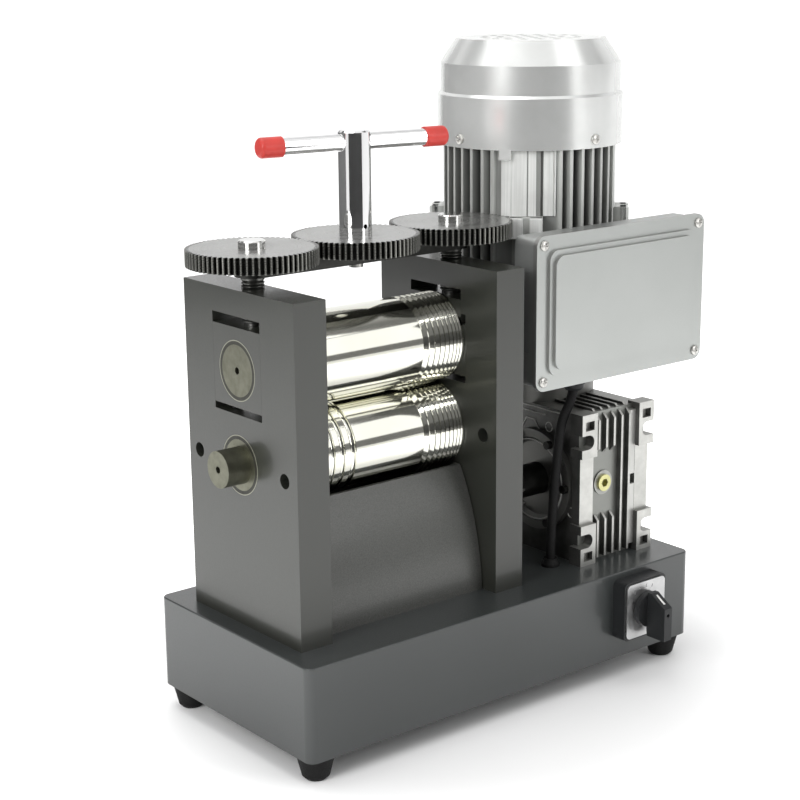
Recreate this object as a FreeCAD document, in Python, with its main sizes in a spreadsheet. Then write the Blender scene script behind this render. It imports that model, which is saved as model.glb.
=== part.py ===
import FreeCAD, Part
import Sketcher
import math
import os
import re

# Motor-driven jewellers rolling mill, in millimetres.
# +X runs along the rollers towards the gearbox, +Y runs from the feed side to the back, +Z is up.
# The origin is on the ground, in the middle of the overall footprint.

Vector = FreeCAD.Vector
Rotation = FreeCAD.Rotation

# ---------------------------------------------------------------- driving sizes

SIZES = {
    # base housing and feet
    "base_end_margin": 15.5,
    "base_depth": 184.0,
    "base_height": 68.0,
    "base_wall": 6.0,
    "base_corner": 6.5,
    "base_edge": 1.0,
    "base_plate_thickness": 2.0,
    "base_plate_ledge": 3.0,
    "foot_height": 17.5,
    "foot_top_radius": 13.5,
    "foot_bottom_radius": 9.7,
    "foot_inset": 14.5,
    "foot_post_radius": 10.5,
    "foot_screw_radius": 3.0,
    "foot_screw_depth": 22.0,
    "foot_screw_head_radius": 5.5,
    "foot_screw_head_height": 4.0,
    "foot_recess_depth": 7.0,
    "foot_edge": 2.4,
    "frame_screw_radius": 4.0,
    "frame_screw_head_radius": 6.4,
    "frame_screw_head": 8.0,
    "frame_screw_engagement": 14.0,
    # cheeks
    "cheek_offset": 14.2,
    "cheek_setback": 27.4,
    "cheek_thickness": 26.0,
    "cheek_depth": 130.0,
    "cheek_crown": 18.0,
    "cheek_screw_inset": 24.0,
    "accessory_hole_radius": 5.25,
    "accessory_hole_front": 14.4,
    "accessory_hole_back": 12.8,
    "accessory_hole_rise": 117.0,
    # rollers
    "roller_setback": 66.9,
    "lower_roller_height": 116.7,
    "roller_diameter": 65.0,
    "roller_gap": 1.1,
    "roller_side_gap": 0.5,
    "journal_radius": 18.0,
    "bush_radius": 21.2,
    "stub_radius": 13.0,
    "stub_length": 18.0,
    "centre_hole_radius": 2.5,
    "centre_hole_depth": 7.0,
    "gear_shaft_radius": 13.0,
    "wire_groove_count": 9,
    "wire_groove_first": 4.9,
    "wire_groove_last": 1.7,
    "wire_groove_land": 0.8,
    "wire_groove_margin": 1.7,
    "half_round_count": 5,
    "half_round_first": 5.2,
    "half_round_last": 1.8,
    "half_round_land": 4.4,
    "half_round_reach": 49.3,
    # chocks and their windows
    "chock_width": 56.0,
    "chock_above": 29.9,
    "chock_below": 25.8,
    "chock_rise": 7.6,
    "chock_drop": 4.9,
    "chock_ear_width": 5.3,
    "chock_ear_depth": 12.0,
    "chock_ear_height": 38.0,
    "slide_clearance": 0.08,
    "spring_radius": 4.0,
    "spring_wire_radius": 0.6,
    "spring_turns": 7.0,
    "spring_seat_depth": 12.0,
    "spring_pocket_depth": 5.0,
    "spring_inset": 8.0,
    # adjusting train on top
    "screw_offset": 2.0,
    "screw_radius": 8.0,
    "screw_pitch": 2.0,
    "thread_depth": 1.1,
    "thread_crest": 0.5,
    "screw_tip": 2.0,
    "screw_neck_radius": 6.5,
    "adjust_module": 1.25,
    "adjust_teeth": 70,
    "adjust_backlash": 0.24,
    "adjust_gear_thickness": 11.5,
    "strap_gap": 7.7,
    "strap_thickness": 7.6,
    "strap_width": 24.6,
    "cap_radius": 9.3,
    "cap_height": 5.0,
    "cap_roof": 1.6,
    "cap_edge": 0.8,
    "post_radius": 11.5,
    "post_height": 71.8,
    "post_neck_radius": 6.5,
    "post_edge": 1.2,
    "spigot_radius": 3.8,
    "set_screw_radius": 1.6,
    "set_screw_rise": 6.0,
    "bar_radius": 6.0,
    "bar_drop": 8.2,
    "bar_length": 141.8,
    "bar_angle": -9.0,
    "grip_side_wall": 1.1,
    "grip_end_wall": 2.6,
    "grip_length": 17.5,
    "grip_edge": 3.0,
    "retainer_radius": 5.0,
    "retainer_height": 4.0,
    # guards between the cheeks
    "guard_setback": 13.6,
    "guard_drop": 26.3,
    "guard_radius": 209.0,
    "guard_centre_drop": 8.0,
    "guard_thickness": 2.5,
    "guard_flange": 14.0,
    "guard_side_gap": 1.0,
    "guard_screw_radius": 2.5,
    "guard_screw_head_radius": 4.75,
    "guard_screw_head_height": 2.5,
    "guard_roller_gap": 2.5,
    "guard_screw_spread": 52.0,
    "guard_screw_setback": 26.0,
    # roller gears
    "roller_gear_teeth": 22,
    "pinion_teeth": 18,
    "roller_gear_backlash": 0.8,
    "roller_gear_width": 20.0,
    "roller_gear_gap": 4.0,
    # gearbox
    "gearbox_gap": 98.8,
    "output_setback": 80.0,
    "gearbox_width": 77.0,
    "gearbox_crown": 2.0,
    "gearbox_wall": 5.0,
    "gearbox_screw_spread": 24.0,
    "gearbox_screw_front": 16.0,
    "gearbox_screw_back": 9.0,
    "lug_width": 16.0,
    "lug_depth": 12.5,
    "lug_cover_gap": 1.0,
    "lug_block_height": 32.0,
    "lug_slot_height": 11.0,
    "lug_slot_depth": 12.5,
    "lug_slot_inset": 16.0,
    "lug_slot_rise": 14.0,
    "lug_pocket_depth": 5.0,
    "lug_pocket_inset": 3.5,
    "lug_pocket_width": 9.0,
    "lug_pocket_height": 7.0,
    "lug_pocket_drop": 5.5,
    "lug_pocket_rise": 3.5,
    "lug_web_recess": 4.0,
    "lug_side_recess": 2.0,
    "panel_recess": 8.5,
    "case_back": 30.0,
    "rib_pitch": 8.2,
    "rib_thickness": 2.0,
    "rib_height": 4.5,
    "rib_foot": 2.0,
    "rib_bend": 8.0,
    "plug_radius": 6.5,
    "plug_height": 2.0,
    "plug_offset": 8.2,
    "plug_rise": 1.6,
    "plug_gap": 24.0,
    "plug_boss_radius": 9.5,
    "plug_boss_height": 1.0,
    "plug_thread_radius": 5.0,
    "plug_socket": 3.4,
    "plug_socket_depth": 4.0,
    "side_pocket_depth": 4.0,
    "side_pocket_width": 9.0,
    "side_pocket_height": 8.0,
    "side_pocket_setback": 45.0,
    "worm_centre": 48.5,
    "mesh_gap": 0.4,
    "wheel_width": 24.0,
    "wheel_side_gap": 1.5,
    "output_shoulder_radius": 16.0,
    "worm_radius": 16.6,
    "worm_length": 46.0,
    "worm_hub_radius": 12.5,
    "worm_foot": 12.0,
    "bearing_width": 12.0,
    "output_shaft_radius": 12.5,
    "output_bearing_radius": 23.5,
    "cover_rim_margin": 3.6,
    "cover_spigot": 11.0,
    "cover_flange": 5.0,
    "cover_dish_radius": 33.2,
    "cover_dish_depth": 4.0,
    "output_bearing_width": 9.0,
    "cover_bolt_count": 6,
    "cover_bolt_depth": 12.0,
    "cover_bolt_margin": 3.8,
    "cover_bolt_radius": 2.0,
    "cover_bolt_head_radius": 3.2,
    "cover_bolt_head_height": 4.0,
    # motor
    "adapter_radius": 52.5,
    "adapter_height": 20.5,
    "adapter_bore_radius": 12.0,
    "flange_bolt_radius": 3.0,
    "flange_bolt_head_radius": 4.8,
    "flange_bolt_head_height": 4.5,
    "flange_bolt_spread": 24.0,
    "flange_bolt_depth": 13.0,
    "shield_height": 25.0,
    "shield_radius": 66.0,
    "shield_flare": 6.0,
    "shield_floor": 10.0,
    "shield_hub_radius": 24.0,
    "frame_height": 164.0,
    "frame_core_radius": 54.0,
    "frame_bore_radius": 47.0,
    "fin_cowl_gap": 0.3,
    "fin_pitch": 9.7,
    "fin_thickness": 2.4,
    "fin_last_offset": 27.5,
    "pad_radius": 62.5,
    "pad_width": 46.0,
    "pad_rib_radius": 64.8,
    "pad_rib_width": 21.0,
    "ear_radius": 75.0,
    "ear_width": 25.0,
    "ear_height": 15.5,
    "ear_drop": 65.0,
    "stator_length": 100.0,
    "rotor_radius": 28.0,
    "air_gap": 0.5,
    "rotor_shoulder_radius": 12.0,
    "motor_shaft_radius": 9.0,
    "motor_nose_radius": 7.0,
    "nose_depth": 30.0,
    "motor_bearing_radius": 20.0,
    "rear_shield_height": 8.0,
    "rear_shield_gap": 9.5,
    "rear_bore_radius": 12.0,
    "rear_spigot": 4.0,
    "rear_spigot_wall": 3.0,
    "fan_gap": 4.0,
    "fan_side_gap": 7.5,
    "fan_height": 22.0,
    "fan_blades": 7,
    "fan_hub_radius": 13.0,
    "fan_thickness": 2.0,
    "fan_blade_inset": 1.0,
    "cowl_radius": 71.0,
    "cowl_step": 2.0,
    "cowl_shoulder": 12.0,
    "cowl_wall": 1.5,
    "cowl_overlap": 16.0,
    "cowl_skirt": 39.5,
    "cowl_band": 21.5,
    "cowl_cone": 18.0,
    "cowl_vent_radius": 3.0,
    "cowl_vent_pitch": 12.0,
    "cowl_screw_rise": 6.5,
    "cowl_boss_width": 12.0,
    "cowl_screw_radius": 2.0,
    "cowl_screw_head": 2.4,
    "cowl_screw_head_radius": 4.0,
    "cowl_screw_head_top": 2.8,
    "cowl_screw_length": 9.0,
    "cowl_tab_width": 9.0,
    "cowl_tab_drop": 7.0,
    "cowl_tab_angle": 212.0,
    "wire_hole_radius": 6.0,
    # terminal box
    "box_fin_gap": 2.9,
    "box_shift": 5.0,
    "box_width": 176.8,
    "box_height": 114.5,
    "box_top_drop": 70.6,
    "box_corner": 8.0,
    "box_rim_thickness": 4.0,
    "box_step_inset": 11.0,
    "box_step_height": 2.3,
    "box_room_margin": 3.0,
    "box_panel_inset": 15.0,
    "box_panel_height": 2.4,
    "gasket_thickness": 1.2,
    "gasket_width": 11.0,
    "box_body_inset": 2.2,
    "box_body_depth": 20.5,
    "box_wall": 3.0,
    "box_neck_width": 60.0,
    "box_neck_height": 70.0,
    "box_neck_lift": 1.15,
    "box_screw_inset": 7.0,
    "box_screw_radius": 2.0,
    "box_screw_head_radius": 4.2,
    "box_screw_head_top": 2.94,
    "box_screw_head_height": 2.6,
    "box_screw_depth": 12.0,
    "box_boss_radius": 4.6,
    "box_overlap": 0.5,
    "box_recess_margin": 5.0,
    "box_recess_height": 60.0,
    "box_recess_depth": 1.2,
    # motor cable
    "cable_radius": 3.6,
    "gland_inboard": 7.5,
    "gland_inset": 9.1,
    "gland_length": 10.0,
    "gland_tip_radius": 6.4,
    "gland_tip_height": 2.0,
    "gland_radius": 8.0,
    "gland_nut_radius": 9.2,
    "gland_nut_height": 5.0,
    "gland_thread_radius": 6.5,
    "gland_inside": 5.0,
    "cable_first_drop": 15.2,
    "cable_second_share": 0.86,
    "cable_second_shift": 12.5,
    "cable_third_share": 0.568,
    "cable_third_shift": 17.4,
    "cable_fourth_share": 0.184,
    "cable_tail": 17.0,
    "grommet_outboard": 13.5,
    "grommet_shift": 1.0,
    "grommet_radius": 7.0,
    "grommet_top_radius": 5.04,
    "grommet_height": 6.0,
    "grommet_neck_radius": 5.6,
    "grommet_lip": 2.0,
    # rotary switch
    "switch_shift": 8.2,
    "switch_rise": 39.8,
    "switch_width": 44.0,
    "switch_height": 46.0,
    "switch_depth": 12.0,
    "switch_corner": 4.0,
    "switch_barrel_radius": 15.0,
    "switch_barrel_length": 40.0,
    "switch_plate_width": 40.6,
    "switch_plate_height": 43.0,
    "switch_plate_thickness": 1.2,
    "knob_disc_radius": 13.5,
    "knob_disc_height": 5.0,
    "knob_disc_sink": 1.0,
    "knob_disc_inset": 2.0,
    "knob_blade_width": 8.0,
    "knob_blade_depth": 17.5,
    "knob_blade_flat": 3.5,
    "knob_blade_top": 14.5,
    "knob_blade_shoulder": 5.5,
    "knob_blade_bottom": 20.0,
    "knob_shaft_radius": 3.0,
    "knob_shaft_reach": 12.0,
    "knob_front_hole_radius": 1.4,
    "knob_front_hole_depth": 3.0,
    "knob_gap": 0.3,
    # inlet gland at the back
    "inlet_offset": 60.0,
    "inlet_rise": 34.0,
    # fits
    "running_clearance": 0.03,
    "thread_clearance": 0.05,
    "seat_clearance": 0.3,
}

# ---------------------------------------------------------------- places worked out from the sizes

PLACES = {
    "gear_centres": "adjust_module * adjust_teeth",
    "first_screw_offset": "cheek_offset + cheek_thickness / 2 + screw_offset",
    "gearbox_offset": "cheek_offset + cheek_thickness + 2 * gear_centres + gearbox_gap",
    "base_length": "gearbox_offset + gearbox_width / 2 + base_end_margin",
    "overall_left": "first_screw_offset - adjust_module * (adjust_teeth + 2) / 2",
    "overall_right": "gearbox_offset + box_shift + box_width / 2",
    "overall_back": "output_setback + worm_centre + cowl_radius",
    "switch_reach": "switch_depth + switch_plate_thickness + knob_gap",
    "knob_reach": "switch_reach + knob_disc_height + knob_blade_depth",
    "base_left": "-(overall_left + overall_right) / 2",
    "base_front": "(knob_reach - overall_back) / 2",
    "base_back": "base_front + base_depth",
    "base_bottom": "foot_height",
    "base_top": "foot_height + base_height",
    "base_ceiling": "base_top - base_wall",
    # cheeks, screws and rollers
    "left_cheek_x": "base_left + cheek_offset",
    "left_cheek_inner": "left_cheek_x + cheek_thickness",
    "left_screw_x": "base_left + first_screw_offset",
    "handle_x": "left_screw_x + gear_centres",
    "right_screw_x": "left_screw_x + 2 * gear_centres",
    "right_cheek_inner": "right_screw_x - screw_offset - cheek_thickness / 2",
    "right_cheek_outer": "right_cheek_inner + cheek_thickness",
    "cheek_front": "base_front + cheek_setback",
    "cheek_back": "cheek_front + cheek_depth",
    "roller_y": "cheek_front + roller_setback",
    "lower_z": "base_top + lower_roller_height",
    "guard_top": "lower_z - guard_drop",
    "upper_z": "lower_z + roller_diameter + roller_gap",
    "roller_radius": "roller_diameter / 2",
    "roller_left": "left_cheek_inner + roller_side_gap",
    "roller_right": "right_cheek_inner - roller_side_gap",
    "chock_bottom": "upper_z - chock_below",
    "chock_top": "upper_z + chock_above",
    "window_bottom": "chock_bottom - chock_drop",
    "window_top": "chock_top + chock_rise",
    "window_width": "chock_width + 2 * slide_clearance",
    "cheek_top": "window_top + cheek_crown",
    "accessory_hole_z": "base_top + accessory_hole_rise",
    "ear_groove_depth": "chock_ear_depth + seat_clearance",
    "ear_groove_height": "chock_drop + chock_ear_height + chock_rise",
    "bush_bore": "journal_radius + running_clearance",
    "spring_seat_bottom": "window_bottom - spring_seat_depth",
    "spring_seat_top": "chock_bottom + spring_pocket_depth",
    "spring_seat_radius": "spring_radius + spring_wire_radius + seat_clearance",
    # adjusting train
    "strap_bottom": "cheek_top + strap_gap",
    "strap_top": "strap_bottom + strap_thickness",
    "adjust_gear_bottom": "strap_top + seat_clearance",
    "adjust_gear_top": "adjust_gear_bottom + adjust_gear_thickness",
    "post_top": "adjust_gear_top + post_height",
    "bar_z": "post_top - bar_drop",
    # roller gears
    "roller_gear_module": "(roller_diameter + 1) / roller_gear_teeth",
    "roller_gear_x": "right_cheek_outer + roller_gear_gap",
    "roller_gear_end": "roller_gear_x + roller_gear_width",
    "pinion_centres": "roller_gear_module * (roller_gear_teeth + pinion_teeth) / 2",
    # gearbox
    "gearbox_x": "base_left + gearbox_offset",
    "gearbox_left": "gearbox_x - gearbox_width / 2",
    "gearbox_right": "gearbox_x + gearbox_width / 2",
    "output_y": "base_front + output_setback",
    "wheel_radius": "worm_centre - worm_radius - mesh_gap",
    "wheel_bore_radius": "wheel_radius + seat_clearance * 2",
    "wheel_bore_depth": "(gearbox_width + wheel_width) / 2 - gearbox_wall + wheel_side_gap",
    "cover_bolt_circle": "wheel_bore_radius + cover_bolt_margin",
    "cover_radius": "cover_bolt_circle + cover_rim_margin",
    "gearbox_front": "output_y - cover_radius - lug_cover_gap - lug_depth",
    "panel_front": "gearbox_front + panel_recess",
    "output_z": "lower_z - sqrt(pinion_centres ^ 2 - (roller_y - output_y) ^ 2)",
    "gearbox_top": "2 * output_z - base_top + gearbox_crown",
    "case_top": "gearbox_top - gearbox_crown",
    "worm_y": "output_y + worm_centre",
    "gearbox_back": "worm_y + case_back",
    "case_left": "gearbox_left + gearbox_wall",
    "case_right": "gearbox_right - gearbox_wall",
    "output_bore": "output_shaft_radius + running_clearance",
    "worm_floor": "base_top + worm_foot",
    "plug_x": "gearbox_x - plug_offset",
    "plug_z": "output_z + plug_rise",
    "side_pocket_y": "panel_front + side_pocket_setback",
    # motor
    "motor_bottom": "gearbox_top + adapter_height",
    "frame_bottom": "motor_bottom + shield_height",
    "frame_top": "frame_bottom + frame_height",
    "rear_shield_top": "frame_top + rear_shield_height",
    "fan_bottom": "rear_shield_top + fan_gap",
    "fin_radius": "cowl_radius - cowl_wall - fin_cowl_gap",
    "rear_shield_radius": "cowl_radius - cowl_wall - rear_shield_gap",
    "cowl_upper_radius": "cowl_radius - cowl_step",
    "cowl_top_radius": "cowl_upper_radius - cowl_shoulder",
    "fan_radius": "cowl_upper_radius - cowl_wall - fan_side_gap",
    "cowl_bottom": "frame_top - cowl_overlap",
    "cowl_top": "cowl_bottom + cowl_skirt + cowl_band + cowl_cone",
    "stator_bottom": "frame_bottom + (frame_height - stator_length) / 2",
    "lower_bearing_z": "frame_bottom - bearing_width",
    "upper_bearing_z": "frame_top - bearing_width / 2",
    # terminal box
    "box_body_back": "worm_y - max(fin_radius; shield_radius) - box_fin_gap",
    "box_body_front": "box_body_back - box_body_depth",
    "gasket_front": "box_body_front - gasket_thickness",
    "rim_front": "gasket_front - box_rim_thickness",
    "box_left": "gearbox_x + box_shift - box_width / 2",
    "box_top": "frame_top - box_top_drop",
    "box_bottom": "box_top - box_height",
    "box_middle": "box_top - box_height / 2",
    "box_neck_bottom": "frame_bottom + box_neck_lift",
    "box_neck_middle": "box_neck_bottom + box_neck_height / 2",
    # cable and switch
    "gland_x": "gearbox_left + gland_inboard",
    "gland_y": "box_body_front + gland_inset",
    "gland_top": "box_bottom + box_body_inset",
    "gland_bottom": "gland_top - gland_length",
    "grommet_x": "gearbox_left - grommet_outboard",
    "grommet_y": "gland_y + grommet_shift",
    "inlet_x": "base_left + inlet_offset",
    "inlet_z": "base_bottom + inlet_rise",
    "cable_first_z": "gland_top - cable_first_drop",
    "cable_drop": "cable_first_z - base_top",
    "cable_second_z": "base_top + cable_drop * cable_second_share",
    "cable_third_z": "base_top + cable_drop * cable_third_share",
    "cable_fourth_z": "base_top + cable_drop * cable_fourth_share",
    "switch_x": "gearbox_x - switch_shift",
    "switch_z": "base_bottom + switch_rise",
    "switch_face": "base_front - switch_depth",
    "switch_plate_face": "switch_face - switch_plate_thickness",
    "knob_back": "switch_plate_face - knob_gap",
    "knob_disc_face": "knob_back - knob_disc_height",
}

doc = FreeCAD.newDocument("RollingMill")
sheet = doc.addObject("Spreadsheet::Sheet", "Dims")

ALIASES = list(SIZES) + list(PLACES)
for row, alias in enumerate(ALIASES, start=1):
    content = str(SIZES[alias]) if alias in SIZES else "=" + PLACES[alias]
    sheet.set(f"A{row}", alias)
    sheet.set(f"B{row}", content)
    sheet.setAlias(f"B{row}", alias)
doc.recompute()

KNOWN = set(ALIASES)
NODES = []


# ---------------------------------------------------------------- helpers

PRESSURE_ANGLE = math.radians(20)
ROOT_DEPTH = 1.4
ROUTE_SHARE = 0.45
VOLUME_TOLERANCE = 0.01
ANGLE_TOLERANCE = 1e-6
LENGTH_TOLERANCE = 1e-4

# A turned piece or rod runs along its own Z until it is turned.
TURN = {
    "X": Rotation(Vector(0, 1, 0), 90),
    "Y": Rotation(Vector(1, 0, 0), -90),
    "Z": Rotation(),
}


def size(alias):
    """The present value of a cell, in millimetres."""
    return float(sheet.get(alias))


def in_sheet(formula):
    """A formula with each alias written as a reference to the sheet."""
    return re.sub(
        r"[a-z][a-z_0-9]*",
        lambda word: f"Dims.{word[0]}" if word[0] in KNOWN else word[0],
        str(formula),
    )


def place(item, at):
    """Tie an object's position to formulas for x, y and z."""
    for axis, formula in zip("xyz", at):
        item.setExpression(f"Placement.Base.{axis}", in_sheet(formula))


def keep(label, item):
    """Name an object as one of the sub-parts that are written out."""
    item.Label = label
    NODES.append(item)
    return item


def block(name, at, extent):
    """A box from its lowest corner and its three lengths."""
    item = doc.addObject("Part::Box", name)
    for side, formula in zip(("Length", "Width", "Height"), extent):
        item.setExpression(side, in_sheet(formula))
    place(item, at)
    return item


def rod(name, at, radius, length, axis="Z"):
    """A cylinder from the middle of its first end."""
    item = doc.addObject("Part::Cylinder", name)
    item.setExpression("Radius", in_sheet(radius))
    item.setExpression("Height", in_sheet(length))
    item.Placement = FreeCAD.Placement(Vector(), TURN[axis])
    place(item, at)
    return item


def join(name, pieces):
    """One solid from several that meet."""
    item = doc.addObject("Part::MultiFuse", name)
    item.Shapes = pieces
    item.Refine = True
    return item


def cut(name, stock, tools):
    """The stock less its tools."""
    item = doc.addObject("Part::Cut", name)
    item.Base = stock
    item.Tool = tools[0] if len(tools) == 1 else join(f"{name}_tools", tools)
    return item


def group(name, pieces):
    """Separate solids of one kind, kept together."""
    item = doc.addObject("Part::Compound", name)
    item.Links = pieces
    return item


def coded(name, shape, at=("0", "0", "0"), turn=Rotation()):
    """A shape made in code, then turned and put in place."""
    item = doc.addObject("Part::Feature", name)
    item.Shape = shape
    item.Placement = FreeCAD.Placement(Vector(), turn)
    place(item, at)
    return item


def sketch_on(body, role, name):
    """A sketch on one of a body's own origin planes."""
    sketch = body.newObject("Sketcher::SketchObject", name)
    support = next(plane for plane in body.Origin.OriginFeatures if plane.Role == role)
    sketch.AttachmentSupport = [(support, "")]
    sketch.MapMode = "FlatFace"
    return sketch


def draw_outline(sketch, corners):
    """A closed outline of straight sides between corners given as pairs of formulas."""
    count = len(corners)
    turn = 2 * math.pi / count
    points = [Vector(math.cos(turn * step), math.sin(turn * step), 0) for step in range(count)]
    sides = [Part.LineSegment(points[step], points[(step + 1) % count]) for step in range(count)]
    sketch.addGeometry(sides, False)
    for side in range(count):
        sketch.addConstraint(Sketcher.Constraint("Coincident", side, 2, (side + 1) % count, 1))
    for side, corner in enumerate(corners):
        for kind, formula in zip(("DistanceX", "DistanceY"), corner):
            number = sketch.addConstraint(Sketcher.Constraint(kind, -1, 1, side, 1, 1.0))
            sketch.setExpression(f"Constraints[{number}]", in_sheet(formula))


def pad(body, sketch, length):
    """Extrude a sketch along its normal."""
    item = body.newObject("PartDesign::Pad", f"{sketch.Name}_pad")
    item.Profile = sketch
    item.setExpression("Length", in_sheet(length))
    return item


def edges_along(shape, direction):
    """The names of the straight edges that run along a direction."""
    names = []
    for number, edge in enumerate(shape.Edges, start=1):
        if edge.Curve.TypeId != "Part::GeomLine":
            continue
        heading = edge.tangentAt(edge.FirstParameter)
        if abs(abs(heading.dot(direction)) - 1) < ANGLE_TOLERANCE:
            names.append(f"Edge{number}")
    return names


def top_edges(shape):
    """The names of the edges that lie in the highest plane of a shape."""
    names = []
    for number, edge in enumerate(shape.Edges, start=1):
        if shape.BoundBox.ZMax - edge.BoundBox.ZMin < LENGTH_TOLERANCE:
            names.append(f"Edge{number}")
    return names


def round_edges(body, feature, names, radius):
    """Fillet named edges of a body's last feature."""
    item = body.newObject("PartDesign::Fillet", f"{feature.Name}_fillet")
    item.Base = (feature, names)
    item.setExpression("Radius", in_sheet(radius))
    doc.recompute()
    return item


def turned(name, at, outline, axis="Z"):
    """A turned piece: an outline of (radius, height) corners, spun about its own axis."""
    body = doc.addObject("PartDesign::Body", name)
    sketch = sketch_on(body, "XZ_Plane", f"{name}_outline")
    draw_outline(sketch, outline)
    spin = body.newObject("PartDesign::Revolution", f"{name}_spin")
    spin.Profile = sketch
    spin.ReferenceAxis = (sketch, ["V_Axis"])
    spin.Angle = 360
    body.Placement = FreeCAD.Placement(Vector(), TURN[axis])
    place(body, at)
    return body


def ring(name, at, inner, outer, length, axis="Z"):
    """A plain ring or tube."""
    return turned(name, at, [(inner, "0"), (outer, "0"), (outer, length), (inner, length)], axis)


def slab(name, at, width, height, thickness, corner):
    """An upright plate with round corners, from its lower left back corner towards the front."""
    body = doc.addObject("PartDesign::Body", name)
    sketch = sketch_on(body, "XZ_Plane", f"{name}_outline")
    draw_outline(sketch, [("0", "0"), (width, "0"), (width, height), ("0", height)])
    plate = pad(body, sketch, thickness)
    doc.recompute()
    round_edges(body, plate, edges_along(plate.Shape, Vector(0, 1, 0)), corner)
    place(body, at)
    return body


def prism(points, travel):
    """A solid from a closed run of points, swept straight."""
    return Part.Face(Part.makePolygon(points + points[:1])).extrude(travel)


def spun(edges):
    """A solid from edges in the XZ plane, spun about Z."""
    return Part.Face(Part.Wire(edges)).revolve(Vector(), Vector(0, 0, 1), 360)


def outline_edges(corners):
    """Straight edges between (radius, height) corners, closed."""
    points = [Vector(radius, 0, height) for radius, height in corners]
    return [Part.makeLine(here, there) for here, there in zip(points, points[1:] + points[:1])]


def tube_route(points):
    """Straight runs joined by tangent arcs as large as the runs allow."""
    edges = []
    start = points[0]
    for before, corner, after in zip(points, points[1:], points[2:]):
        back = (before - corner).normalize()
        ahead = (after - corner).normalize()
        half_turn = (math.pi - back.getAngle(ahead)) / 2
        reach = ROUTE_SHARE * min((before - corner).Length, (after - corner).Length)
        radius = reach / math.tan(half_turn)
        nearest = radius / math.cos(half_turn) - radius
        middle = corner + (back + ahead).normalize() * nearest
        edges.append(Part.makeLine(start, corner + back * reach))
        edges.append(Part.Arc(corner + back * reach, middle, corner + ahead * reach).toShape())
        start = corner + ahead * reach
    edges.append(Part.makeLine(start, points[-1]))
    return Part.Wire(edges)


def tube_along(points, radius):
    """A round tube that follows a route."""
    route = tube_route(points)
    heading = (points[1] - points[0]).normalize()
    section = Part.Wire(Part.Circle(points[0], heading, radius).toShape())
    tube = route.makePipeShell([section], True, False)
    expected = math.pi * radius ** 2 * route.Length
    if abs(tube.Volume / expected - 1) > VOLUME_TOLERANCE:
        raise ValueError("the tube's volume is not its section times its length")
    return tube


def gear_outline(module, teeth, thinning, first_tooth):
    """The wire of an involute spur gear about the origin of the XY plane."""
    pitch_radius = module * teeth / 2
    base_radius = pitch_radius * math.cos(PRESSURE_ANGLE)
    tip_radius = pitch_radius + module
    root_radius = pitch_radius - ROOT_DEPTH * module
    foot_radius = max(base_radius, root_radius)
    half_tooth = (math.pi * module / 2 - thinning) / (2 * pitch_radius)

    def lean(radius):
        """The angle between the tooth's middle and its flank at a radius."""
        roll = math.acos(min(1.0, base_radius / radius))
        return half_tooth + math.tan(PRESSURE_ANGLE) - PRESSURE_ANGLE - math.tan(roll) + roll

    def spot(radius, angle):
        return Vector(radius * math.cos(angle), radius * math.sin(angle), 0)

    edges = []
    step = 2 * math.pi / teeth
    flank = (foot_radius, (foot_radius + tip_radius) / 2, tip_radius)
    for number in range(teeth):
        middle = first_tooth + number * step
        rise = [spot(radius, middle - lean(radius)) for radius in flank]
        fall = [spot(radius, middle + lean(radius)) for radius in reversed(flank)]
        root_start = spot(root_radius, middle + lean(foot_radius))
        root_middle = spot(root_radius, middle + step / 2)
        root_end = spot(root_radius, middle + step - lean(foot_radius))
        next_foot = spot(foot_radius, middle + step - lean(foot_radius))
        edges.append(Part.Arc(*rise).toShape())
        edges.append(Part.Arc(rise[2], spot(tip_radius, middle), fall[0]).toShape())
        edges.append(Part.Arc(*fall).toShape())
        if foot_radius > root_radius:
            edges.append(Part.makeLine(fall[2], root_start))
        edges.append(Part.Arc(root_start, root_middle, root_end).toShape())
        if foot_radius > root_radius:
            edges.append(Part.makeLine(root_end, next_foot))
    return Part.Wire(edges)


def gear_blank(name, at, outline, width, axis="Z"):
    """A solid spur gear from the middle of its first face."""
    solid = Part.Face(outline).extrude(Vector(0, 0, size(width)))
    return coded(name, solid, at, TURN[axis])


# ---------------------------------------------------------------- base housing, plate and feet

shell = doc.addObject("PartDesign::Body", "base_shell")
shell_outline = sketch_on(shell, "XY_Plane", "base_shell_outline")
draw_outline(
    shell_outline,
    [("0", "0"), ("base_length", "0"), ("base_length", "base_depth"), ("0", "base_depth")],
)
shell_pad = pad(shell, shell_outline, "base_height")
doc.recompute()
shell_uprights = edges_along(shell_pad.Shape, Vector(0, 0, 1))
shell_sides = round_edges(shell, shell_pad, shell_uprights, "base_corner")
round_edges(shell, shell_sides, top_edges(shell_sides.Shape), "base_edge")
place(shell, ("base_left", "base_front", "base_bottom"))

foot_spots = [
    (f"base_left + {x}", f"base_front + {y}")
    for x in ("foot_inset", "base_length - foot_inset")
    for y in ("foot_inset", "base_depth - foot_inset")
]
frame_screw_spots = [
    (f"{x} + cheek_thickness / 2", y)
    for x in ("left_cheek_x", "right_cheek_inner")
    for y in ("cheek_front + cheek_screw_inset", "cheek_back - cheek_screw_inset")
] + [
    (f"gearbox_x {side} gearbox_screw_spread", y)
    for side in "-+"
    for y in ("panel_front + gearbox_screw_front", "gearbox_back - gearbox_screw_back")
]
guard_screw_spots = [
    (f"handle_x {side} guard_screw_spread", y)
    for side in "-+"
    for y in ("cheek_front + guard_screw_setback", "cheek_back - guard_screw_setback")
]

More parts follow.
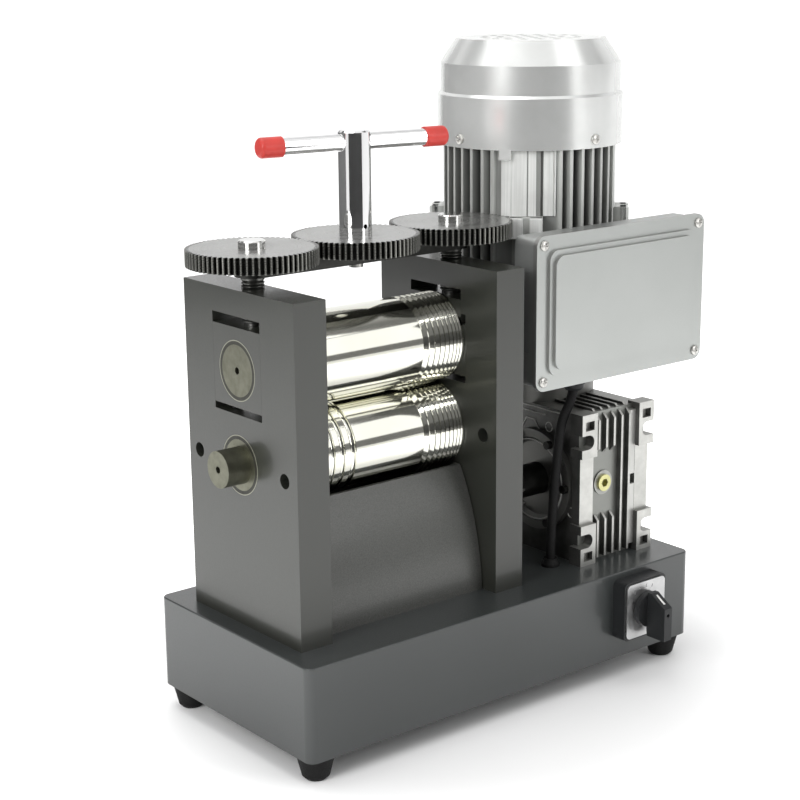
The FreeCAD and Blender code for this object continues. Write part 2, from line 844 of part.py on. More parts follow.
hollow = [
    block(
        "base_cavity",
        ("base_left + base_wall", "base_front + base_wall", "base_bottom"),
        ("base_length - 2 * base_wall", "base_depth - 2 * base_wall", "base_height - base_wall"),
    ),
    block(
        "base_rebate",
        (
            "base_left + base_wall - base_plate_ledge",
            "base_front + base_wall - base_plate_ledge",
            "base_bottom",
        ),
        (
            "base_length - 2 * base_wall + 2 * base_plate_ledge",
            "base_depth - 2 * base_wall + 2 * base_plate_ledge",
            "base_plate_thickness",
        ),
    ),
]
posts = [
    rod(
        f"base_post_{number}",
        (x, y, "base_bottom + base_plate_thickness"),
        "foot_post_radius",
        "base_height - base_plate_thickness - base_wall / 2",
    )
    for number, (x, y) in enumerate(foot_spots)
]
base_holes = [
    rod(f"foot_hole_{number}", (x, y, "base_bottom"), "foot_screw_radius + thread_clearance",
        "foot_screw_depth")
    for number, (x, y) in enumerate(foot_spots)
] + [
    rod(f"frame_screw_hole_{number}", (x, y, "base_ceiling"), "frame_screw_radius + seat_clearance",
        "base_wall")
    for number, (x, y) in enumerate(frame_screw_spots)
] + [
    rod(f"guard_screw_hole_{number}", (x, y, "base_ceiling"), "guard_screw_radius + thread_clearance",
        "base_wall")
    for number, (x, y) in enumerate(guard_screw_spots)
] + [
    rod("grommet_hole", ("grommet_x", "grommet_y", "base_ceiling"), "grommet_neck_radius", "base_wall"),
    rod("inlet_hole", ("inlet_x", "base_back - base_wall", "inlet_z"), "grommet_neck_radius",
        "base_wall", "Y"),
    rod("switch_hole", ("switch_x", "base_front", "switch_z"), "switch_barrel_radius + seat_clearance",
        "base_wall", "Y"),
]
base_posted = join("base_posted", [cut("base_open", shell, hollow)] + posts)
keep("base_housing", cut("base_bored", base_posted, base_holes))

plate_stock = block(
    "base_plate_stock",
    (
        "base_left + base_wall - base_plate_ledge + seat_clearance",
        "base_front + base_wall - base_plate_ledge + seat_clearance",
        "base_bottom",
    ),
    (
        "base_length - 2 * (base_wall - base_plate_ledge + seat_clearance)",
        "base_depth - 2 * (base_wall - base_plate_ledge + seat_clearance)",
        "base_plate_thickness",
    ),
)
plate_holes = [
    rod(f"plate_hole_{number}", (x, y, "base_bottom"), "foot_screw_radius + seat_clearance",
        "base_plate_thickness")
    for number, (x, y) in enumerate(foot_spots)
]
keep("base_plate", cut("base_plate_bored", plate_stock, plate_holes))

foot_outline = [
    ("foot_screw_head_radius + seat_clearance", "0"),
    ("foot_bottom_radius - foot_edge", "0"),
    ("foot_bottom_radius", "foot_edge"),
    ("foot_top_radius", "foot_height"),
    ("foot_screw_radius + seat_clearance", "foot_height"),
    ("foot_screw_radius + seat_clearance", "foot_recess_depth"),
    ("foot_screw_head_radius + seat_clearance", "foot_recess_depth"),
]
keep("rubber_feet", group("feet", [
    turned(f"foot_{number}", (x, y, "0"), foot_outline) for number, (x, y) in enumerate(foot_spots)
]))
foot_screw_outline = [
    ("0", "foot_recess_depth - foot_screw_head_height"),
    ("foot_screw_head_radius", "foot_recess_depth - foot_screw_head_height"),
    ("foot_screw_head_radius", "foot_recess_depth"),
    ("foot_screw_radius", "foot_recess_depth"),
    ("foot_screw_radius", "foot_recess_depth + foot_screw_depth"),
    ("0", "foot_recess_depth + foot_screw_depth"),
]
keep("foot_screws", group("foot_screw_set", [
    turned(f"foot_screw_{number}", (x, y, "0"), foot_screw_outline)
    for number, (x, y) in enumerate(foot_spots)
]))

frame_screw_outline = [
    ("0", "-frame_screw_head"),
    ("frame_screw_head_radius", "-frame_screw_head"),
    ("frame_screw_head_radius", "0"),
    ("frame_screw_radius", "0"),
    ("frame_screw_radius", "base_wall + frame_screw_engagement"),
    ("0", "base_wall + frame_screw_engagement"),
]
keep("frame_screws", group("frame_screw_set", [
    turned(f"frame_screw_{number}", (x, y, "base_ceiling"), frame_screw_outline)
    for number, (x, y) in enumerate(frame_screw_spots)
]))

# ---------------------------------------------------------------- cheeks

spring_spots = [
    (f"{x} + cheek_thickness / 2", f"roller_y {side} (chock_width / 2 - spring_inset)")
    for x in ("left_cheek_x", "right_cheek_inner")
    for side in "-+"
]
groove_at = {"left": "left_cheek_inner - ear_groove_depth", "right": "right_cheek_inner"}
for side, cheek_x in (("left", "left_cheek_x"), ("right", "right_cheek_inner")):
    stock = block(
        f"{side}_cheek_stock",
        (cheek_x, "cheek_front", "base_top"),
        ("cheek_thickness", "cheek_depth", "cheek_top - base_top"),
    )
    tools = [
        block(
            f"{side}_window",
            (cheek_x, "roller_y - window_width / 2", "window_bottom"),
            ("cheek_thickness", "window_width", "window_top - window_bottom"),
        ),
        block(
            f"{side}_ear_groove",
            (groove_at[side], "roller_y - window_width / 2 - chock_ear_width", "window_bottom"),
            ("ear_groove_depth", "window_width + 2 * chock_ear_width", "ear_groove_height"),
        ),
        rod(f"{side}_journal_hole", (cheek_x, "roller_y", "lower_z"), "bush_radius",
            "cheek_thickness", "X"),
        rod(f"{side}_screw_hole", (f"{side}_screw_x", "roller_y", "window_top"),
            "screw_radius + thread_clearance", "cheek_crown"),
    ]
    for end, hole_y in (("front", "cheek_front + accessory_hole_front"),
                        ("back", "cheek_back - accessory_hole_back")):
        tools.append(rod(
            f"{side}_accessory_hole_{end}", (cheek_x, hole_y, "accessory_hole_z"),
            "accessory_hole_radius", "cheek_thickness", "X",
        ))
    first = 0 if side == "left" else 2
    for number in (first, first + 1):
        tools.append(rod(f"{side}_frame_hole_{number}", (*frame_screw_spots[number], "base_top"),
                         "frame_screw_radius + thread_clearance",
                         "frame_screw_engagement + seat_clearance"))
        tools.append(rod(f"{side}_spring_seat_{number}", (*spring_spots[number], "spring_seat_bottom"),
                         "spring_seat_radius", "spring_seat_depth"))
    keep(f"{side}_cheek", cut(f"{side}_cheek_bored", stock, tools))

# ---------------------------------------------------------------- chocks, bushes and springs

chocks = []
for side, chock_x in (("left", "left_cheek_x"), ("right", "right_cheek_inner")):
    ear_x = {"left": "left_cheek_inner - chock_ear_depth", "right": "right_cheek_inner"}[side]
    blank = join(f"{side}_chock_blank", [
        block(f"{side}_chock_block", (chock_x, "roller_y - chock_width / 2", "chock_bottom"),
              ("cheek_thickness", "chock_width", "chock_top - chock_bottom")),
        block(f"{side}_chock_ears",
              (ear_x, "roller_y - chock_width / 2 - chock_ear_width + slide_clearance", "chock_bottom"),
              ("chock_ear_depth", "chock_width + 2 * (chock_ear_width - slide_clearance)",
               "chock_ear_height")),
    ])
    first = 0 if side == "left" else 2
    bores = [rod(f"{side}_chock_bore", (chock_x, "roller_y", "upper_z"), "bush_radius",
                 "cheek_thickness", "X")]
    for number in (first, first + 1):
        bores.append(rod(f"{side}_chock_pocket_{number}", (*spring_spots[number], "chock_bottom"),
                         "spring_seat_radius", "spring_pocket_depth"))
    chocks.append(cut(f"{side}_chock_bored", blank, bores))
keep("roller_chocks", group("chock_pair", chocks))

for level, axis_z in (("lower", "lower_z"), ("upper", "upper_z")):
    keep(f"{level}_bushes", group(f"{level}_bush_pair", [
        ring(f"{level}_{side}_bush", (bush_x, "roller_y", axis_z), "bush_bore", "bush_radius",
             "cheek_thickness", "X")
        for side, bush_x in (("left", "left_cheek_x"), ("right", "right_cheek_inner"))
    ]))

spring_wire, spring_radius = size("spring_wire_radius"), size("spring_radius")
spring_room = size("spring_seat_top") - size("spring_seat_bottom")
spring_rise = spring_room - 2 * (spring_wire + size("running_clearance"))
helix = Part.makeHelix(spring_rise / size("spring_turns"), spring_rise, spring_radius)
wire_end = Part.Circle(Vector(spring_radius, 0, 0), Vector(0, 1, 0), spring_wire)
coil = Part.Wire(helix.Edges).makePipeShell([Part.Wire(wire_end.toShape())], True, True)
coil_bottom = "spring_seat_bottom + spring_wire_radius + running_clearance"
keep("lift_springs", group("spring_set", [
    coded(f"spring_{number}", coil, (x, y, coil_bottom))
    for number, (x, y) in enumerate(spring_spots)
]))

# ---------------------------------------------------------------- rollers


def groove_widths(kind):
    """The widths of a row of grooves, from the first to the last in even steps."""
    count = int(size(f"{kind}_count"))
    first, last = size(f"{kind}_first"), size(f"{kind}_last")
    return [first + (last - first) * number / max(count - 1, 1) for number in range(count)]


def roller_edges(half_rounds):
    """The upper edge of a roller's barrel from left to right, with its grooves."""
    radius = size("roller_radius")
    left, right = size("roller_left"), size("roller_right")
    edges, here = [], left

    def run_to(place_along):
        nonlocal here
        edges.append(Part.makeLine(Vector(radius, 0, here), Vector(radius, 0, place_along)))
        here = place_along

    if half_rounds:
        widths = groove_widths("half_round")
        end = left + size("half_round_reach")
        starts = []
        for width in widths:
            starts.append((end - width, width))
            end -= width + size("half_round_land")
        for start, width in reversed(starts):
            run_to(start)
            bottom = Vector(radius - width / 2, 0, start + width / 2)
            near, far = Vector(radius, 0, start), Vector(radius, 0, start + width)
            edges.append(Part.Arc(near, bottom, far).toShape())
            here = start + width
    widths = groove_widths("wire_groove")
    land = size("wire_groove_land")
    start = right - size("wire_groove_margin") - sum(widths) - land * (len(widths) - 1)
    for width in widths:
        run_to(start)
        bottom = Vector(radius - width / 2, 0, start + width / 2)
        edges.append(Part.makeLine(Vector(radius, 0, start), bottom))
        edges.append(Part.makeLine(bottom, Vector(radius, 0, start + width)))
        here = start + width
        start = here + land
    run_to(right)
    return edges


def roller_solid(left_reach, left_radius, half_rounds):
    """A roller with its journals, along Z from its left end at the place left_reach."""
    journal, gear_shaft = size("journal_radius"), size("gear_shaft_radius")
    hole, hole_depth = size("centre_hole_radius"), size("centre_hole_depth")
    left, right = size("roller_left"), size("roller_right")
    face, outer = size("left_cheek_x"), size("right_cheek_outer")
    end = size("roller_gear_end")
    corners = [(hole, left_reach), (left_radius, left_reach)]
    if left_radius < journal:
        corners += [(left_radius, face), (journal, face)]
    corners += [(journal, left), (size("roller_radius"), left)]
    lower = [Vector(radius, 0, along) for radius, along in corners]
    hole_end = left_reach + hole_depth
    corners = [(size("roller_radius"), right), (journal, right), (journal, outer), (gear_shaft, outer),
               (gear_shaft, end), (0, end), (0, hole_end), (hole, hole_end), (hole, left_reach)]
    upper = [Vector(radius, 0, along) for radius, along in corners]
    edges = [Part.makeLine(here, there) for here, there in zip(lower, lower[1:])]
    edges += roller_edges(half_rounds)
    edges += [Part.makeLine(here, there) for here, there in zip(upper, upper[1:])]
    return spun(edges)


keep("lower_roller", coded(
    "lower_roller_turned",
    roller_solid(size("left_cheek_x") - size("stub_length"), size("stub_radius"), True),
    ("0", "roller_y", "lower_z"), TURN["X"],
))
keep("upper_roller", coded(
    "upper_roller_turned",
    roller_solid(size("left_cheek_x"), size("journal_radius"), False),
    ("0", "roller_y", "upper_z"), TURN["X"],
))

# ---------------------------------------------------------------- roller gears and pinion

# A tooth direction is measured in the gear's own plane, where 0 points down and a quarter turn back.
roller_teeth, pinion_teeth = int(size("roller_gear_teeth")), int(size("pinion_teeth"))
module = size("roller_gear_module")
roller_pitch = 2 * math.pi / roller_teeth
thinning = size("roller_gear_backlash") / 2
meeting = math.atan2(size("output_y") - size("roller_y"), size("lower_z") - size("output_z"))
lower_lead = (meeting - math.pi) % roller_pitch
pinion_gap = meeting + math.pi + lower_lead * roller_teeth / pinion_teeth
tooth_starts = {"lower": math.pi, "upper": roller_pitch / 2}
for level in ("lower", "upper"):
    blank = gear_blank(
        f"{level}_gear_blank", ("roller_gear_x", "roller_y", f"{level}_z"),
        gear_outline(module, roller_teeth, thinning, tooth_starts[level]), "roller_gear_width", "X",
    )
    bore = rod(f"{level}_gear_bore", ("roller_gear_x", "roller_y", f"{level}_z"), "gear_shaft_radius",
               "roller_gear_width", "X")
    keep(f"{level}_roller_gear", cut(f"{level}_gear_bored", blank, [bore]))
pinion_start = pinion_gap + math.pi / pinion_teeth
pinion_blank = gear_blank(
    "pinion_blank", ("roller_gear_x", "output_y", "output_z"),
    gear_outline(module, pinion_teeth, thinning, pinion_start), "roller_gear_width", "X",
)
pinion_bore = rod("pinion_bore", ("roller_gear_x", "output_y", "output_z"), "output_shaft_radius",
                  "roller_gear_width", "X")
keep("drive_pinion", cut("pinion_bored", pinion_blank, [pinion_bore]))

# ---------------------------------------------------------------- adjusting train

screw_length = size("strap_bottom") - size("chock_top") - size("running_clearance")
screw_outer, screw_root = size("screw_radius"), size("screw_radius") - size("thread_depth")
screw_step = size("screw_pitch")
screw_lead = size("screw_tip")
thread_runs = int((screw_length - 2 * screw_lead) / screw_step)
screw_profile = [(0, 0), (screw_root, 0), (screw_root, screw_lead)]
for number in range(thread_runs):
    height = screw_lead + number * screw_step
    crest = height + (screw_step - size("thread_crest")) / 2
    screw_profile += [(screw_outer, crest), (screw_outer, crest + size("thread_crest")),
                      (screw_root, height + screw_step)]
neck_top = size("adjust_gear_top") + size("cap_height") - size("cap_roof") - size("chock_top")
neck_top -= size("running_clearance")
screw_profile += [
    (screw_outer, screw_lead + thread_runs * screw_step + size("thread_depth")),
    (screw_outer, screw_length),
    (size("screw_neck_radius"), screw_length),
    (size("screw_neck_radius"), neck_top),
    (0, neck_top),
]
screw_shape = spun(outline_edges(screw_profile))
cap_outline = [
    ("0", "cap_height"), ("0", "cap_height - cap_roof"), ("screw_neck_radius", "cap_height - cap_roof"),
    ("screw_neck_radius", "0"), ("cap_radius", "0"), ("cap_radius", "cap_height - cap_edge"),
    ("cap_radius - cap_edge", "cap_height"),
]
adjust_teeth = int(size("adjust_teeth"))
adjust_pitch = 2 * math.pi / adjust_teeth
adjust_thinning = size("adjust_backlash") / 2
adjust_outlines = {
    "side": gear_outline(size("adjust_module"), adjust_teeth, adjust_thinning, 0),
    "centre": gear_outline(size("adjust_module"), adjust_teeth, adjust_thinning, adjust_pitch / 2),
}
for side in ("left", "right"):
    screw_x = f"{side}_screw_x"
    keep(f"{side}_adjusting_screw", coded(
        f"{side}_screw_turned", screw_shape, (screw_x, "roller_y", "chock_top + running_clearance")))
    blank = gear_blank(f"{side}_adjusting_blank", (screw_x, "roller_y", "adjust_gear_bottom"),
                       adjust_outlines["side"], "adjust_gear_thickness")
    bore = rod(f"{side}_adjusting_bore", (screw_x, "roller_y", "adjust_gear_bottom"),
               "screw_neck_radius", "adjust_gear_thickness")
    keep(f"{side}_adjusting_gear", cut(f"{side}_adjusting_bored", blank, [bore]))
    keep(f"{side}_cap_nut", turned(f"{side}_cap", (screw_x, "roller_y", "adjust_gear_top"), cap_outline))

strap_stock = join("strap_stock", [
    block("strap_bar", ("left_screw_x", "roller_y - strap_width / 2", "strap_bottom"),
          ("2 * gear_centres", "strap_width", "strap_thickness")),
] + [
    rod(f"strap_{side}_end", (f"{side}_screw_x", "roller_y", "strap_bottom"), "strap_width / 2",
        "strap_thickness")
    for side in ("left", "right")
])
keep("link_strap", cut("strap_bored", strap_stock, [
    rod("strap_left_hole", ("left_screw_x", "roller_y", "strap_bottom"),
        "screw_neck_radius + running_clearance", "strap_thickness"),
    rod("strap_right_hole", ("right_screw_x", "roller_y", "strap_bottom"),
        "screw_neck_radius + running_clearance", "strap_thickness"),
    rod("strap_middle_hole", ("handle_x", "roller_y", "strap_bottom"),
        "spigot_radius + running_clearance", "strap_thickness"),
]))
keep("strap_retainer", ring(
    "retainer", ("handle_x", "roller_y", "strap_bottom - running_clearance - retainer_height"),
    "spigot_radius", "retainer_radius", "retainer_height"))

blank = gear_blank("centre_blank", ("handle_x", "roller_y", "adjust_gear_bottom"),
                   adjust_outlines["centre"], "adjust_gear_thickness")
bore = rod("centre_bore", ("handle_x", "roller_y", "adjust_gear_bottom"), "post_neck_radius",
           "adjust_gear_thickness")
keep("centre_gear", cut("centre_bored", blank, [bore]))

post = turned("post_turned", ("handle_x", "roller_y", "0"), [
    ("0", "strap_bottom - running_clearance - retainer_height"),
    ("spigot_radius", "strap_bottom - running_clearance - retainer_height"),
    ("spigot_radius", "strap_top + running_clearance"),
    ("post_neck_radius", "strap_top + running_clearance"),
    ("post_neck_radius", "adjust_gear_top"),
    ("post_radius", "adjust_gear_top"),
    ("post_radius", "post_top - post_edge"),
    ("post_radius - post_edge", "post_top"),
    ("0", "post_top"),
])
bar_turn = Rotation(Vector(0, 0, 1), size("bar_angle"))
handle_at = ("handle_x", "roller_y", "bar_z")
bar_reach = size("bar_length") / 2
bar_shape = Part.makeCylinder(
    size("bar_radius"), 2 * bar_reach, Vector(-bar_reach, 0, 0), Vector(1, 0, 0))
set_screw_hole = rod(
    "set_screw_hole", ("handle_x", "roller_y - post_radius", "adjust_gear_top + set_screw_rise"),
    "set_screw_radius", "post_radius", "Y")
keep("handle_post", cut("post_bored", post, [
    coded("bar_hole", bar_shape.copy(), handle_at, bar_turn), set_screw_hole]))
keep("handle_bar", coded("bar", bar_shape, handle_at, bar_turn))
grip_bore_depth = size("grip_length") - size("grip_end_wall")
grip_radius = size("bar_radius") + size("grip_side_wall")
grips = []
for direction in (-1, 1):
    start = Vector(direction * (bar_reach - grip_bore_depth), 0, 0)
    heading = Vector(direction, 0, 0)
    grip = Part.makeCylinder(grip_radius, size("grip_length"), start, heading)
    far = [edge for edge in grip.Edges if edge.Curve.TypeId == "Part::GeomCircle"
           and abs(edge.CenterOfMass.x) > bar_reach]
    grip = grip.makeFillet(size("grip_edge"), far)
    grip = grip.cut(Part.makeCylinder(size("bar_radius"), grip_bore_depth, start, heading))
    grips.append(coded(f"grip_{direction + 1}", grip, handle_at, bar_turn))
keep("handle_grips", group("grip_pair", grips))

# ---------------------------------------------------------------- guards


def guard_shape(face_y, inward, screw_y):
    """A bent sheet between the cheeks, with a curved face, two end flanges and a screwed foot."""
    thickness, radius = size("guard_thickness"), size("guard_radius")
    left = size("left_cheek_inner") + size("guard_side_gap")
    width = size("right_cheek_inner") - size("guard_side_gap") - left
    bottom, top = size("base_top"), size("guard_top")
    centre_z = bottom - size("guard_centre_drop")
    centre_y = face_y + inward * radius

    def sheet_point(reach, height):
        run = math.sqrt(reach ** 2 - (height - centre_z) ** 2)
        return Vector(left, centre_y - inward * run, height)

    middle = (bottom + top) / 2
    inner = radius - thickness
    edges = [
        Part.Arc(*[sheet_point(radius, height) for height in (bottom, middle, top)]).toShape(),
        Part.makeLine(sheet_point(radius, top), sheet_point(inner, top)),
        Part.Arc(*[sheet_point(inner, height) for height in (top, middle, bottom)]).toShape(),
        Part.makeLine(sheet_point(inner, bottom), sheet_point(radius, bottom)),
    ]
    sheet_solid = Part.Face(Part.Wire(edges)).extrude(Vector(width, 0, 0))
    flange = size("guard_flange")
    near, far = sorted((sheet_point(inner, bottom).y - inward * thickness / 2,
                        sheet_point(inner, bottom).y + inward * flange))
    foot = Part.makeBox(width, far - near, thickness, Vector(left, near, bottom))
    solid = sheet_solid.fuse(foot)
    ends = []
    for end_x in (left, left + width - thickness):
        strip = Part.makeBox(thickness, 2 * radius, top - bottom,
                             Vector(end_x, centre_y - radius, bottom))
        centre = Vector(end_x, centre_y, centre_z)
        rim = Part.makeCylinder(inner + thickness / 2, thickness, centre, Vector(1, 0, 0))
        core = Part.makeCylinder(inner - flange, thickness, centre, Vector(1, 0, 0))
        half = Part.makeBox(thickness, radius, 2 * radius,
                            Vector(end_x, min(centre_y, centre_y - inward * radius), centre_z - radius))
        ends.append(rim.cut(core).common(strip).common(half))
    solid = solid.fuse(ends)
    roller_room = Part.makeCylinder(
        size("roller_radius") + size("guard_roller_gap"), width,
        Vector(left, size("roller_y"), size("lower_z")), Vector(1, 0, 0))
    solid = solid.cut(roller_room)
    for side in (-1, 1):
        hole_x = size("handle_x") + side * size("guard_screw_spread")
        solid = solid.cut(Part.makeCylinder(
            size("guard_screw_radius") + size("seat_clearance"), 2 * thickness,
            Vector(hole_x, screw_y, bottom - thickness / 2)))
    return solid.removeSplitter()


keep("front_guard", coded("front_guard_bent", guard_shape(
    size("cheek_front") + size("guard_setback"), 1, size("cheek_front") + size("guard_screw_setback"))))
keep("rear_guard", coded("rear_guard_bent", guard_shape(
    size("cheek_back") - size("guard_setback"), -1, size("cheek_back") - size("guard_screw_setback"))))
guard_screw_outline = [
    ("0", "-base_wall"),
    ("guard_screw_radius", "-base_wall"),
    ("guard_screw_radius", "guard_thickness"),
    ("guard_screw_head_radius", "guard_thickness"),
    ("guard_screw_head_radius", "guard_thickness + guard_screw_head_height / 2"),
    ("guard_screw_radius", "guard_thickness + guard_screw_head_height"),
    ("0", "guard_thickness + guard_screw_head_height"),
]
keep("guard_screws", group("guard_screw_set", [
    turned(f"guard_screw_{number}", (x, y, "base_top"), guard_screw_outline)
    for number, (x, y) in enumerate(guard_screw_spots)
]))

# ---------------------------------------------------------------- gearbox

case = block("gearbox_case", ("case_left", "panel_front", "base_top"),
             ("case_right - case_left", "gearbox_back - panel_front", "case_top - base_top"))
lugs, lug_cuts = [], []
for side, lug_x, slot_x, pocket_x in (
    ("left", "gearbox_left", "gearbox_left - lug_slot_depth", "gearbox_left + lug_pocket_inset"),
    ("right", "gearbox_right - lug_width", "gearbox_right - lug_slot_depth",
     "gearbox_right - lug_width + lug_pocket_inset"),
):
    lugs.append(block(f"{side}_lug", (lug_x, "gearbox_front", "base_top"),
                      ("lug_width", "lug_depth", "gearbox_top - base_top")))
    slot_end = {"left": "gearbox_left + lug_slot_depth - lug_slot_height / 2",
                "right": "gearbox_right - lug_slot_depth + lug_slot_height / 2"}[side]
    slot_start = {"left": "gearbox_left - lug_slot_depth", "right": slot_end}[side]
    slot_run = {"left": "2 * lug_slot_depth - lug_slot_height / 2",
                "right": "2 * lug_slot_depth"}[side]
    for end, slot_z, pocket_z in (
        ("top", "gearbox_top - lug_slot_inset - lug_slot_height",
         "gearbox_top - lug_pocket_drop - lug_pocket_height"),
        ("bottom", "base_top + lug_slot_rise", "base_top + lug_pocket_rise"),
    ):
        lug_cuts += [
            block(f"{side}_{end}_slot", (slot_start, "gearbox_front", slot_z),
                  (slot_run, "lug_depth", "lug_slot_height")),
            rod(f"{side}_{end}_slot_end", (slot_end, "gearbox_front", f"{slot_z} + lug_slot_height / 2"),
                "lug_slot_height / 2", "lug_depth", "Y"),
            block(f"{side}_{end}_pocket", (pocket_x, "gearbox_front", pocket_z),
                  ("lug_pocket_width", "lug_pocket_depth", "lug_pocket_height")),
        ]
    lug_cuts.append(block(
        f"{side}_web_recess", (lug_x, "gearbox_front", "base_top + lug_block_height"),
        ("lug_width", "lug_web_recess", "case_top - base_top - 2 * lug_block_height")))
    side_cut_x = {"left": "gearbox_left", "right": "gearbox_right - lug_side_recess"}[side]
    lug_cuts.append(block(
        f"{side}_side_recess", (side_cut_x, "gearbox_front", "base_top + lug_block_height"),
        ("lug_side_recess", "lug_depth", "case_top - base_top - 2 * lug_block_height")))

rib_front = size("panel_front") - size("rib_height")
rib_inner = size("panel_front") + size("rib_thickness")
rib_base, rib_top = size("base_top") + size("rib_foot"), size("gearbox_top")
rib_under = size("case_top") - size("rib_thickness")
rib_bend, rib_width = size("rib_bend"), size("rib_thickness")
rib_back = size("worm_y")
plug_z, plug_gap = size("plug_z"), size("plug_gap")
# The ribs by the plug stop short of it, with ends that slope as far as the ribs are high.
slope_front = rib_front - rib_width
slope_reach = plug_gap + size("rib_height") + rib_width
rib_shapes = []
for number in range(-2, 3):
    rib_x = size("gearbox_x") + number * size("rib_pitch") - rib_width / 2
    corners = [(rib_inner, rib_base), (rib_front, rib_base), (rib_front, rib_top - rib_bend),
               (rib_front + rib_bend, rib_top), (rib_back, rib_top), (rib_back, rib_under),
               (rib_inner, rib_under)]
    rib = prism([Vector(rib_x, y, z) for y, z in corners], Vector(rib_width, 0, 0))
    if number <= 0:
        gap = [(slope_front, plug_z - slope_reach), (slope_front, plug_z + slope_reach),
               (size("panel_front"), plug_z + plug_gap), (size("panel_front"), plug_z - plug_gap)]
        rib = rib.cut(prism([Vector(rib_x, y, z) for y, z in gap], Vector(rib_width, 0, 0)))
    rib_shapes.append(rib)
clear_of_adapter = Part.makeCylinder(
    size("adapter_radius") + size("seat_clearance"), size("gearbox_top"),
    Vector(size("gearbox_x"), size("worm_y"), size("case_top")))
ribs = coded("gearbox_ribs", Part.makeCompound([rib.cut(clear_of_adapter) for rib in rib_shapes]))
plug_boss = rod("plug_boss", ("plug_x", "panel_front - plug_boss_height", "plug_z"), "plug_boss_radius",
                "plug_boss_height + gearbox_wall", "Y")
case_cuts = [
    rod("wheel_bore", ("case_left", "output_y", "output_z"), "wheel_bore_radius", "wheel_bore_depth",
        "X"),
    rod("far_bearing_seat", ("case_left + wheel_bore_depth", "output_y", "output_z"),
        "output_bearing_radius", "output_bearing_width", "X"),
    rod("worm_bore", ("gearbox_x", "worm_y", "worm_floor"), "motor_bearing_radius",
        "case_top - worm_floor"),
    rod("plug_hole", ("plug_x", "panel_front - plug_boss_height", "plug_z"), "plug_thread_radius",
        "plug_boss_height + gearbox_wall * 2", "Y"),
]
for number in range(4, 8):
    case_cuts.append(rod(f"gearbox_screw_hole_{number}", (*frame_screw_spots[number], "base_top"),
                         "frame_screw_radius + thread_clearance",
                         "frame_screw_engagement + seat_clearance"))
cover_bolt_spots = []
bolt_count = int(size("cover_bolt_count"))
for number in range(bolt_count):
    angle = 2 * math.pi * (number + 0.5) / bolt_count
    cover_bolt_spots.append((
        f"output_y + cover_bolt_circle * {math.sin(angle):.6f}",
        f"output_z + cover_bolt_circle * {math.cos(angle):.6f}",
    ))
for number, (y, z) in enumerate(cover_bolt_spots):
    case_cuts.append(rod(f"cover_bolt_hole_{number}", ("case_left", y, z),
                         "cover_bolt_radius + thread_clearance", "cover_bolt_depth", "X"))
flange_bolt_spots = [
    (f"gearbox_x {across} flange_bolt_spread", f"worm_y {along} flange_bolt_spread")
    for across in "-+" for along in "-+"
]
for number, (x, y) in enumerate(flange_bolt_spots):
    case_cuts.append(rod(f"flange_bolt_hole_{number}", (x, y, "case_top - flange_bolt_depth"),
                         "flange_bolt_radius + thread_clearance", "flange_bolt_depth"))
side_pocket = block(
    "side_pocket",
    ("case_right - side_pocket_depth", "side_pocket_y", "output_z - side_pocket_height / 2"),
    ("side_pocket_depth", "side_pocket_width", "side_pocket_height"),
)
gearbox_lugs = cut("gearbox_lugs", join("gearbox_lug_pair", lugs), lug_cuts)
gearbox_solid = join("gearbox_solid", [case, gearbox_lugs, ribs, plug_boss])
keep("gearbox_housing", cut("gearbox_bored", gearbox_solid, case_cuts + [side_pocket]))

cover = turned("output_cover_turned", ("case_left - cover_flange", "output_y", "output_z"), [
    ("output_shaft_radius + seat_clearance", "cover_dish_depth"),
    ("cover_dish_radius - cover_dish_depth", "cover_dish_depth"),
    ("cover_dish_radius", "0"),
    ("cover_radius", "0"),
    ("cover_radius", "cover_flange"),
    ("wheel_bore_radius", "cover_flange"),
    ("wheel_bore_radius", "cover_flange + cover_spigot"),
    ("output_bearing_radius", "cover_flange + cover_spigot"),
    ("output_bearing_radius", "cover_flange + cover_spigot - output_bearing_width"),
    ("output_shaft_radius + seat_clearance", "cover_flange + cover_spigot - output_bearing_width"),
], "X")
keep("output_cover", cut("output_cover_bored", cover, [
    rod(f"cover_hole_{number}", ("case_left - cover_flange", y, z),
        "cover_bolt_radius + seat_clearance / 2", "cover_flange", "X")
    for number, (y, z) in enumerate(cover_bolt_spots)
]))
keep("cover_bolts", group("cover_bolt_set", [
    turned(f"cover_bolt_{number}", ("case_left - cover_flange", y, z), [
        ("0", "-cover_bolt_head_height"),
        ("cover_bolt_head_radius", "-cover_bolt_head_height"),
        ("cover_bolt_head_radius", "0"),
        ("cover_bolt_radius", "0"),
        ("cover_bolt_radius", "cover_flange + cover_bolt_depth - seat_clearance"),
        ("0", "cover_flange + cover_bolt_depth - seat_clearance"),
    ], "X")
    for number, (y, z) in enumerate(cover_bolt_spots)
]))
keep("output_bearings", group("output_bearing_pair", [
    ring(f"output_bearing_{number}", (x, "output_y", "output_z"), "output_bore", "output_bearing_radius",
         "output_bearing_width", "X")
    for number, x in enumerate(("case_left + cover_spigot - output_bearing_width",
                                "case_left + wheel_bore_depth"))
]))
wheel_x = "gearbox_x - wheel_width / 2"
keep("worm_wheel", ring("wheel_turned", (wheel_x, "output_y", "output_z"), "output_shoulder_radius",
                        "wheel_radius", "wheel_width", "X"))
